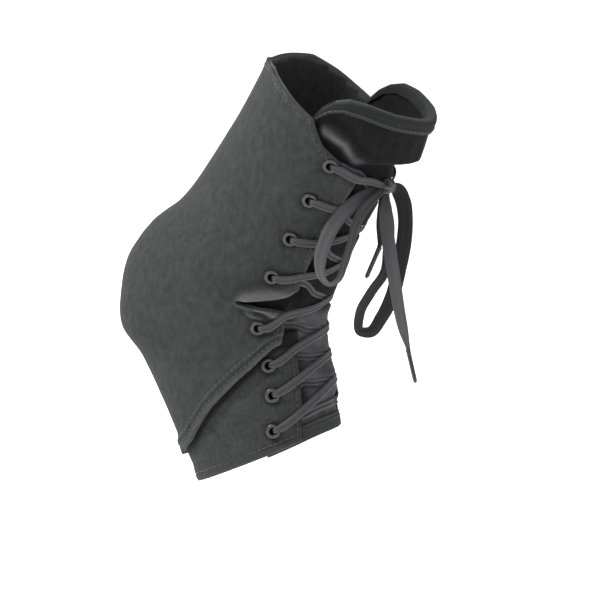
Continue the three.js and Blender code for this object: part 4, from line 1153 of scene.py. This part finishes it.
KNOT_HEIGHT = 4.2 * MM
KNOT_APPROACH = 17 * MM
BED = [(7, 0), (7.7, 1), (10.9, 1), (11.7, 0)]


def bed(place):
    """How far the shell's hem presses down what lies under it."""
    return LAP_SINK * along(BED, place)


def level_from(level, share):
    """A level moved toward the top of the cloth, or toward its underside where the share is negative."""
    return level + ((LACE_ON_CLOTH if share > 0 else LACE_UNDER) - level) * abs(share)


def threaded(row, side):
    """The stations of a strand that comes up through an eyelet."""
    section, round_way = eyelet_place(row, side)
    rise = shell_rise if row < SHELL_ROWS else forefoot_rise
    proud = eyelet_seat(row, side)[2]
    stations = []
    for inward, depth, wide in UNDER_STEPS:
        at = round_way - side * inward
        stations.append((section, at, depth + min(-float(bed(section)), float(rise(section, at))), wide))
    for inward, depth, wide in OVER_STEPS:
        at = round_way - side * inward
        stations.append((section, at, depth + float(rise(section, at)) + proud, wide))
    return stations


def crossing(row, side):
    """The stations of a strand from the panel's edge to under the other panel."""
    rise = shell_rise if row < SHELL_ROWS else forefoot_rise
    start = EDGE_CROSSINGS[row]
    target = EYELETS[row - 1][0]
    to = start + (target - start) * CROSSED
    edge = side * float(shell_front(start) if row < SHELL_ROWS else forefoot_front(start))
    stations = [(start, edge, LACE_ON_CLOTH + float(rise(start, edge)), 1)]
    for share, over, under in CROSSING:
        level = level_from(LACE_UPPER, over) if side < 0 else level_from(LACE_LOWER, under)
        stations.append((start + (to - start) * (0.5 - share / 2), side * HALF_OPENING * share, level, 1))
    beneath = LACE_UNDER - float(bed(to))
    stations.append((to, -side * DIVE, beneath, 1))
    stations.append((to + (target - to) * 0.5, -side * UNDER_PANEL, beneath, 1))
    return stations


lacing_lines = []
for node, first_side in (("lace_first_half", -1), ("lace_second_half", 1)):
    stations = [(EYELETS[-1][0], first_side * at, depth, 1) for at, depth in LACE_START]
    for i, row in enumerate(reversed(range(len(EYELETS)))):
        side = -first_side if i % 2 else first_side
        stations += threaded(row, side)
        if row:
            stations += crossing(row, side)
    last_side = -first_side
    top = EDGE_CROSSINGS[0]
    stations += [
        (top, last_side * float(shell_front(top)), LACE_ON_CLOTH, 0.85),
        (top, last_side * KNOT_APPROACH, LACE_ON_CLOTH, 0.85),
        (KNOT_AT[0], KNOT_AT[1] + last_side * (KNOT_WIDE / 2 - GAP), KNOT_HEIGHT - GAP, 0.6),
    ]
    place, round_way, depth, wide = np.array(stations).T
    down = unit(skin(place + PROBE, round_way) - skin(place - PROBE, round_way))
    rows = smooth_curve(np.column_stack([off(place, round_way, depth), down, wide, depth]), LACE_STEP)
    wide = np.clip(rows[:, 6], 0, 1)
    width = LACE_BORE_WIDTH + (LACE_TIGHT_WIDTH - LACE_BORE_WIDTH) * wide
    thickness = LACE_BORE_THICKNESS + (LACE_THICKNESS - LACE_BORE_THICKNESS) * wide
    lacing_lines.append(rows[::3, :3])
    # Painted shade: the lace is darkened where it lies deep and kept lighter where it stands proud.
    proud = smooth_step((rows[:, 7] - LACE_LOWER) / LACE_THICKNESS)
    lace_shading = BURIED_LACE_SHADE + (PROUD_LACE_LIGHTNESS - BURIED_LACE_SHADE) * proud
    points, faces, uv = lace_mesh(rows[:, :3], rows[:, 3:6], width, thickness, LACE_TIGHT_GROOVE)
    piece = add_piece(
        node.replace("lace_", "lacing_"), points, faces, lace_cotton, uv, np.repeat(lace_shading, LACE_SIDES))
    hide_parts(node)

# Tongue: foam 3.5 mm thick between two knitted faces, laid under the lacing from the leg to the foot. It
# swells between the strands, and its top stands forward as a flared lip with a soft roll where it bends.
TONGUE_PAD = 3.5 * MM
TONGUE_HALF_WIDTH = 68 * MM
TONGUE_FLARE = 13 * MM
TONGUE_TOP = np.array([
    [0, 0.68, 1.68, 1], [0.37, 0.68, 1.78, 0.93], [0.5, 0.68, 1.7, 0.65], [0.64, 0.68, 1.5, 0.44],
    [0.8, 0.73, 1.42, 0.24], [0.9, 0.86, 1.41, 0.08], [0.965, 1.05, 1.4, 0], [1, 1.3, 1.4, 0],
])
TONGUE_TAPER = [(6.5, 1), (9, 0.86), (12.87, 0.8)]
TONGUE_END = FOOT_EDGE + 0.02
FLARE_HEIGHT = 0.28
FLARE_LOSS = 0.4
TONGUE_BULGE = 4.2 * MM
RISE_BESIDE = 8
HUGGED_HALF = 1.9 * MM
KNOT_ROOM, KNOT_REACH, KNOT_SLOPE = 3 * MM, 6.5 * MM, 0.6
EASINGS = 2
CREASE_LENGTH = 30 * MM
ROLL_HEIGHT, ROLL_AT, ROLL_SPREAD = 4.6 * MM, -1.5 * MM, 3.6 * MM
HOLLOW_DEPTH, HOLLOW_AT, HOLLOW_SPREAD = 3.2 * MM, -10 * MM, 4.5 * MM
RIB_HEIGHT, RIB_PITCH, RIB_AT, RIB_SPREAD = 0.35 * MM, 9 * MM, -16 * MM, 8 * MM
ROLL_FROM, ROLL_FADE_IN, ROLL_TO, ROLL_FADE_OUT = 22 * MM, 12 * MM, 64 * MM, 8 * MM
CHANNEL_DEPTH, CHANNEL_AT, CHANNEL_SPREAD = 0.5 * MM, 11 * MM, 1.1 * MM
CHANNEL_FROM, CHANNEL_FADE = 1.7, 0.3
BULGE_HALF, BULGE_FADE = 26 * MM, 6 * MM
BULGE_FROM, BULGE_FROM_FADE, BULGE_TO_FADE = 1.62, 0.35, 0.5
LIP_TO, LIP_FADE = 2.1, 0.35
INNER_FOLLOWS = 0.5
TONGUE_LUMPS = (0.3 * MM, 16 * MM, 21)
# The tongue is painted grey below the shaded top, and the roll of the bend carries a painted highlight.
TONGUE_UNSHADED, TONGUE_UNSHADED_FROM, TONGUE_UNSHADED_SLOPE = 0.75, 6, 1.8
TONGUE_UNSHADED_HALF, TONGUE_UNSHADED_FADE = 31 * MM, 4 * MM
LIGHTNESS_BASE, LIGHTNESS_PATCHES, PATCH_SIZE, PATCH_SEED = 0.85, 0.5, 7 * MM, 31
ROLL_HIGHLIGHT, ROLL_HIGHLIGHT_AT, ROLL_HIGHLIGHT_SPREAD = 1.1, -1.0 * MM, 2.6 * MM


def tongue_half(place):
    return TONGUE_HALF_WIDTH * along(TONGUE_TAPER, place)


def tongue_top(share, column):
    return np.interp(np.abs(share), TONGUE_TOP[:, 0], TONGUE_TOP[:, column])


def tongue_point(place, share, depth):
    """Points of the tongue at places and shares of its half width, a depth above its plain face."""
    round_way = share * tongue_half(place)
    swell = TONGUE_SWELL * (1 - smooth_step(np.abs(round_way) / TONGUE_SWELL_REACH))
    rim, crease = tongue_top(share, 1), tongue_top(share, 2)
    fall = 1 - FLARE_LOSS * np.clip((crease - place) / (crease - rim), 0, 1)
    shell_inside = -SHELL_CLOTH - GAP - SLACK
    flared = (TONGUE_FLARE * tongue_top(share, 3) * fall + shell_inside - TONGUE_FACE) * smooth_step(
        (crease - place) / FLARE_HEIGHT)
    return off(place, round_way, TONGUE_FACE - bed(place) + swell + flared + depth)


def from_end(end, share, distance):
    """Places at a distance down the tongue from one of its ends."""
    return end + distance / section_length(end, share * tongue_half(end))


# The knit: brushed polyester, dead matt with a soft nap. It is painted near black, as painted shade where the
# tongue's top lies in shade, greyer in uneven patches along the middle of its lower part, and lighter along
# the roll of the bend, as painted highlight. Its loops are about 0.6 mm across and are drawn 1.3 mm across to
# show.
KNIT_LOOP = 1.3 * MM
knit, tree, shader = start_material("brushed_knit_over_foam", Roughness=0.95, IOR=1.3)
places = add_node(tree, "ShaderNodeUVMap", {"uv_map": "cloth"})
loops = add_node(tree, "ShaderNodeTexVoronoi", links={"Vector": places.outputs["UV"], "Scale": 1 / KNIT_LOOP})
nap = add_node(tree, "ShaderNodeTexNoise", links={"Scale": 700.0, "Detail": 4.0})
relief = add_node(tree, "ShaderNodeMath", {"operation": "MULTIPLY_ADD"}, {
    0: nap.outputs["Fac"], 1: 0.8, 2: loops.outputs["Distance"],
})
bump = add_node(tree, "ShaderNodeBump", links={
    "Strength": 0.5, "Distance": 0.18 * MM, "Height": relief.outputs[0],
})
tree.links.new(bump.outputs["Normal"], shader.inputs["Normal"])
lumps = add_node(tree, "ShaderNodeTexNoise", links={"Scale": 60.0, "Detail": 4.0})
worn_and_shaded = add_node(tree, "ShaderNodeAttribute", {"attribute_name": "wear_and_shading"})
# The near-black knit is painted shade at the tongue's top; a high attribute mixes it toward grey, along the
# roll as painted highlight.
rubbed_and_lit = add_node(tree, "ShaderNodeMix", {"data_type": "RGBA", "clamp_factor": True}, {
    0: worn_and_shaded.outputs["Fac"], 6: colour_ramp(tree, lumps.outputs["Fac"], [(0.3, "#0f0f10"), (0.7, "#191719")]),
    7: linear("#555457"),
})
tree.links.new(rubbed_and_lit.outputs[2], shader.inputs["Base Color"])


def room_under(points, outward, lace):
    """How far each point of a sheet can rise before it meets the lace, eased between neighbours."""

    def clearance(rays):
        apart = lace[None] - rays[:, None, :3]
        above = (apart * rays[:, None, 3:]).sum(2)
        beside = np.sqrt(np.maximum((apart ** 2).sum(2) - above ** 2, 0))
        clear = above - LACE_THICKNESS / 2 - GAP + RISE_BESIDE * np.clip(beside - HUGGED_HALF, 0, 1)
        return np.where(above > 0, clear, TONGUE_BULGE).min(1)

    rays = np.column_stack([points.reshape(-1, 3), outward.reshape(-1, 3)])
    room = np.minimum(in_parts(clearance, rays), TONGUE_BULGE).reshape(points.shape[:2])
    eased = room
    for _ in range(EASINGS):
        padded = np.pad(eased, 1, mode="edge")
        eased = (padded[:-2, 1:-1] + padded[2:, 1:-1] + padded[1:-1, :-2] + padded[1:-1, 2:] + 2 * eased) / 6
    return np.minimum(room, eased)


def sheet_cut(shape):
    """The triangles of a sheet of rows and columns of points, and the loop of its edge."""
    index = np.arange(shape[0] * shape[1]).reshape(shape)
    quads = np.stack([index[:-1, :-1], index[1:, :-1], index[1:, 1:], index[:-1, 1:]], axis=-1).reshape(-1, 4)
    edge = np.concatenate([index[0, :-1], index[:-1, -1], index[-1, :0:-1], index[:0:-1, 0]])
    return np.vstack([quads[:, [0, 1, 2]], quads[:, [0, 2, 3]]]), edge


tongue_columns = 97
tongue_rows = 190
share = np.linspace(-1, 1, tongue_columns)[None] * np.ones((tongue_rows, 1))
down = (np.linspace(0, 1, tongue_rows) ** 1.25)[:, None]
place = tongue_top(share, 1) * (1 - down) + TONGUE_END * down
round_way = share * tongue_half(place)
from_middle = np.abs(round_way)
to_crease = (place - tongue_top(share, 2)) * CREASE_LENGTH
at_sides = smooth_step((from_middle - ROLL_FROM) / ROLL_FADE_IN) * smooth_step(
    (ROLL_TO - from_middle) / ROLL_FADE_OUT)
roll = ROLL_HEIGHT * hump(to_crease, ROLL_AT, ROLL_SPREAD) * at_sides
hollow = -HOLLOW_DEPTH * hump(to_crease, HOLLOW_AT, HOLLOW_SPREAD) * at_sides
rib = RIB_HEIGHT * np.sin(round_way / RIB_PITCH * 2 * np.pi + 1) * hump(to_crease, RIB_AT, RIB_SPREAD)
at_lip = smooth_step((LIP_TO - place) / LIP_FADE)
plain = tongue_point(place, share, np.zeros_like(place))
lump_height, lump_size, lump_seed = TONGUE_LUMPS
soft = lump_height * cloth_noise(plain.reshape(-1, 3), lump_size, lump_seed).reshape(place.shape)
below_lip = smooth_step((place - CHANNEL_FROM) / CHANNEL_FADE)
channels = -CHANNEL_DEPTH * hump(from_middle, CHANNEL_AT, CHANNEL_SPREAD) * below_lip
in_opening = smooth_step((BULGE_HALF - from_middle) / BULGE_FADE) * smooth_step(
    (place - BULGE_FROM) / BULGE_FROM_FADE)
in_opening *= smooth_step((TONGUE_END - BULGE_TO_FADE - place) / BULGE_TO_FADE)
room = room_under(plain, normal_at(place, round_way), np.vstack(lacing_lines))
from_knot = np.linalg.norm(plain - knot_centre, axis=2)
room = np.minimum(room, KNOT_ROOM + np.clip(from_knot - KNOT_REACH, 0, 1) * KNOT_SLOPE)
bulge = np.clip(room, 0, TONGUE_BULGE) * in_opening
outer = tongue_point(place, share, (roll + hollow + rib) * at_lip + bulge + soft + channels)
inner = tongue_point(place, share, -TONGUE_PAD + INNER_FOLLOWS * hollow * at_lip)
triangles, chain = sheet_cut(place.shape)
points, faces = padded_cloth(outer.reshape(-1, 3), inner.reshape(-1, 3), triangles, [chain])
uv = np.column_stack([round_way.ravel(), (place * 20 * MM).ravel()])
patches = cloth_noise(plain.reshape(-1, 3), PATCH_SIZE, PATCH_SEED).reshape(place.shape)
# Grey below the painted shade of the top, and a painted highlight along the roll, in uneven patches.
shade_and_highlight = TONGUE_UNSHADED * smooth_step((place - TONGUE_UNSHADED_FROM) / TONGUE_UNSHADED_SLOPE) * smooth_step(
    (TONGUE_UNSHADED_HALF - from_middle) / TONGUE_UNSHADED_FADE)
shade_and_highlight += ROLL_HIGHLIGHT * hump(to_crease, ROLL_HIGHLIGHT_AT, ROLL_HIGHLIGHT_SPREAD) * at_sides
shade_and_highlight *= np.where(place > TONGUE_UNSHADED_FROM, 1, at_lip) * (LIGHTNESS_BASE + LIGHTNESS_PATCHES * patches)
wear_and_shading = rim_values(shade_and_highlight.ravel(), [chain], triangles)
wear_and_shading[place.size:2 * place.size] = 0
tongue = add_piece("padded_tongue", points, faces, knit, rim_values(uv, [chain], triangles), wear_and_shading)
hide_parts("tongue")

# Bindings: ribbed polyester tape, 6 mm wide on each face, folded over the tongue's two ends and sewn through.
# Its ribs run across it, about 1 mm apart. It is painted lighter along the fold and at the edge of its outer
# face, as painted highlight, and the bottom tape is painted lighter all over, as painted light.
TAPE_WIDTH = 6 * MM
TAPE_THICKNESS = 0.7 * MM
TAPE_LIFT = GAP + 1.5 * SLACK
TAPE_RIB = 1.4 * MM
TAPE_RIB_HEIGHT = 0.14 * MM
TAPE_COLUMNS = 341
TAPE_STATIONS = (1, 0.6, 0.3)
FOLD_REACH, FOLD_POINTS = 0.6, 9
TAPE_SEAM, TAPE_SEAM_LIFT = 0.8, 0.05 * MM
# Painted highlights along the tape's rows, across the fold, and painted light over the whole bottom tape.
TAPE_HIGHLIGHT_SHARE, BOTTOM_TAPE_LIGHTENING = 0.6, 0.4
TAPE_HIGHLIGHTS = [(0, 0.7), (1, 0.1), (3, 0.0), (5, 0.3), (7, 0.9), (9, 0.1)]

tape, tree, shader = start_material("ribbed_polyester_tape", Roughness=0.8, IOR=1.35)
ribs = add_node(tree, "ShaderNodeTexNoise", links={"Scale": 500.0, "Detail": 3.0})
bump = add_node(tree, "ShaderNodeBump", links={
    "Strength": 0.4, "Distance": 0.1 * MM, "Height": ribs.outputs["Fac"],
})
tree.links.new(bump.outputs["Normal"], shader.inputs["Normal"])
worn_and_shaded = add_node(tree, "ShaderNodeAttribute", {"attribute_name": "wear_and_shading"})
# A high attribute mixes the tape toward grey: painted highlight.
rubbed_and_lit = add_node(tree, "ShaderNodeMix", {"data_type": "RGBA", "clamp_factor": True}, {
    0: worn_and_shaded.outputs["Fac"], 6: colour_ramp(tree, ribs.outputs["Fac"], [(0.3, "#151616"), (0.7, "#202221")]),
    7: linear("#434544"),
})
tree.links.new(rubbed_and_lit.outputs[2], shader.inputs["Base Color"])


def binding(name, node, end_of, way):
    """A tape over one end of the tongue, folded the way its width runs down it, and its row of stitches."""
    share = np.linspace(-1, 1, TAPE_COLUMNS)[None]
    end = end_of(share)

    def face(lift):
        radius = TONGUE_PAD / 2 + lift
        fold = [(-radius * FOLD_REACH * math.sin(a), -TONGUE_PAD / 2 + radius * math.cos(a))
                for a in np.linspace(0, math.pi, FOLD_POINTS)]
        rows = [(TAPE_WIDTH * k, lift) for k in TAPE_STATIONS] + fold
        rows += [(TAPE_WIDTH * k, -TONGUE_PAD - lift) for k in reversed(TAPE_STATIONS)]
        return np.vstack([
            tongue_point(from_end(end, share, way * distance), share, np.full(share.shape, depth))
            for distance, depth in rows
        ])

    outer, inner = face(TAPE_LIFT + TAPE_THICKNESS), face(TAPE_LIFT)
    ribbed = TAPE_RIB_HEIGHT * np.sin(2 * np.pi * lengths_along(outer[0]) / TAPE_RIB)
    outer = outer + unit(outer - inner) * ribbed[None, :, None]
    triangles, chain = sheet_cut(outer.shape[:2])
    if way > 0:
        triangles = triangles[:, ::-1]
    points, faces = padded_cloth(outer.reshape(-1, 3), inner.reshape(-1, 3), triangles, [chain])
    # Painted highlight along the fold and at the outer face's edge, and painted light over the bottom tape.
    tape_highlight = np.interp(np.arange(len(outer)), *zip(*TAPE_HIGHLIGHTS)) * TAPE_HIGHLIGHT_SHARE
    tape_highlight += BOTTOM_TAPE_LIGHTENING if way < 0 else 0
    wear_and_shading = rim_values(np.repeat(tape_highlight, TAPE_COLUMNS), [chain], triangles)
    piece = add_piece(name, points, faces, tape, wear_and_shading=wear_and_shading)
    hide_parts(node)
    outward = unit(outer[1] - inner[1])
    seam_place = from_end(end, share, way * TAPE_WIDTH * TAPE_SEAM)
    seam = tongue_point(seam_place, share, np.full(share.shape, TAPE_LIFT))[0]
    lifted = outer[1] + outward * TAPE_SEAM_LIFT
    sew((lifted * 0.5 + (seam + outward * TAPE_THICKNESS) * 0.5)[4:-4], outward[4:-4])


binding("top_binding", "tongue_binding_top", lambda share: tongue_top(share, 1), 1)
binding("bottom_binding", "tongue_binding_bottom", lambda share: np.full(share.shape, TONGUE_END), -1)

# Knot: the lace's first half turned once round the second, drawn tight. Two turns of the braid lie over each
# other across the front, and the loops and ends leave from under them. Each turn is its long and high radius
# and its lean in mm, its angle, the share of LACE_WIDTH and its lift in mm.
KNOT_TURNS = [
    (2.9, 2.6, 0.3, 0.0, 0.8, 0.0),
    (2.4, 2.1, -0.9, 0.9, 0.7, 0.36),
]
KNOT_BULK = 2.5
KNOT_GROOVE = 0.22
# Painted shade: the knot's lace is painted darker than the lit strands.
KNOT_SHADE = 0.35
KNOT_POINTS = 60
knot_along = unit(skin(KNOT_AT[0] + PROBE, KNOT_AT[1]) - skin(KNOT_AT[0] - PROBE, KNOT_AT[1]))
knot_out = normal_at(*KNOT_AT)
knot_side = unit(np.cross(knot_out, knot_along))
parts, knot_faces, knot_uv = [], [], []
for long_radius, high_radius, lean, turn, share, lift in KNOT_TURNS:
    angle = np.linspace(0, 2 * np.pi, KNOT_POINTS, endpoint=False)
    axis = unit(knot_side * math.cos(turn) + knot_along * math.sin(turn))
    other = np.cross(knot_out, axis)
    path = knot_centre + MM * (
        other[None] * (long_radius * np.cos(angle))[:, None]
        + knot_out[None] * (high_radius * np.sin(angle) + lift)[:, None]
        + axis[None] * (lean * np.sin(angle / 2))[:, None]
    )
    ring = np.vstack([path, path[:1]])
    across = np.broadcast_to(axis, ring.shape)
    width, thickness = share * LACE_WIDTH, KNOT_BULK * LACE_THICKNESS
    points, faces, uv = lace_mesh(
        ring, across, np.full(len(ring), width), np.full(len(ring), thickness), KNOT_GROOVE)
    count = sum(len(p) for p in parts)
    knot_faces += [[i + count for i in face] for face in faces]
    parts.append(points)
    knot_uv.append(uv)
knot_uv = np.vstack(knot_uv)
knot_shade = np.full(len(knot_uv), KNOT_SHADE)
knot = add_piece("tied_knot", np.vstack(parts), knot_faces, lace_cotton, knot_uv, knot_shade)
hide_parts("bow_knot")

# Stitching: every row of stitches on the brace, as one piece. The thread is bonded polyester, round and
# slightly shiny, in nearly the colour of the canvas.
thread, tree, shader = start_material("bonded_polyester_thread", Roughness=0.55, IOR=1.55, Sheen_Weight=0.2)
twist = add_node(tree, "ShaderNodeTexNoise", links={"Scale": 1500.0, "Detail": 2.0})
tree.links.new(
    colour_ramp(tree, twist.outputs["Fac"], [(0.3, "#252627"), (0.7, "#343537")]),
    shader.inputs["Base Color"],
)
stitches = add_piece("stitching", np.vstack(stitch_points), stitch_faces, thread)

# Studio: a pale paper sweep well below the brace, lit so that it reads white. A small key light stands at the
# upper left, a weak fill at the right and a broad light overhead, in a pale surround.
FLOOR_DROP = 0.09
SWEEP_WIDTH = 18.0
SWEEP_PROFILE = [(-8.0, 0.0), (2.2, 0.0), (2.8, 0.08), (3.2, 0.3), (3.4, 0.7), (3.45, 3.5)]
FLOOR_COLOUR = "#f4f4f4"

paper, tree, shader = start_material("lit_background_paper", Roughness=0.9, Emission_Strength=0.5)
shader.inputs["Emission Color"].default_value = linear(FLOOR_COLOUR)
tooth = add_node(tree, "ShaderNodeTexNoise", links={"Scale": 60.0})
tree.links.new(
    colour_ramp(tree, tooth.outputs["Fac"], [(0.4, "#f2f2f2"), (0.6, FLOOR_COLOUR)]),
    shader.inputs["Base Color"],
)
back = Vector((camera_forward.x, camera_forward.y, 0)).normalized()
floor_level = float(cad_box[0][2]) - FLOOR_DROP
sweep_points = [
    back * reach + camera_right * (SWEEP_WIDTH / 2 * sign) + Vector((0, 0, floor_level + height))
    for reach, height in SWEEP_PROFILE for sign in (-1, 1)
]
sweep_mesh = bpy.data.meshes.new("paper_sweep")
sweep_mesh.from_pydata(
    sweep_points, [], [(2 * i, 2 * i + 1, 2 * i + 3, 2 * i + 2) for i in range(len(SWEEP_PROFILE) - 1)])
sweep_mesh.polygons.foreach_set("use_smooth", [True] * len(sweep_mesh.polygons))
sweep_mesh.materials.append(paper)
sweep = bpy.data.objects.new("paper_sweep", sweep_mesh)
bpy.context.scene.collection.objects.link(sweep)

LIGHTS = [
    ("key_light", (-0.75, 0.85, -0.35), 0.4, 17),
    ("fill_light", (1.3, 0.1, -1.0), 1.4, 4),
    ("top_light", (-0.2, 1.6, 0.4), 1.2, 10),
]
for name, (rightward, upward, forward), size, power in LIGHTS:
    light_data = bpy.data.lights.new(name, "AREA")
    light_data.size = size
    light_data.energy = power
    light = bpy.data.objects.new(name, light_data)
    light.location = camera_right * rightward + camera_up * upward + camera_forward * forward
    light.rotation_euler = (-light.location).to_track_quat("-Z", "Y").to_euler()
    bpy.context.scene.collection.objects.link(light)

SURROUND_COLOUR, SURROUND_STRENGTH = "#f6f6f6", 0.65
world = bpy.data.worlds.new("pale_surround")
world.use_nodes = True
world.node_tree.nodes["Background"].inputs["Color"].default_value = linear(SURROUND_COLOUR)
world.node_tree.nodes["Background"].inputs["Strength"].default_value = SURROUND_STRENGTH
bpy.context.scene.world = world
bpy.context.scene.view_settings.view_transform = "Standard"
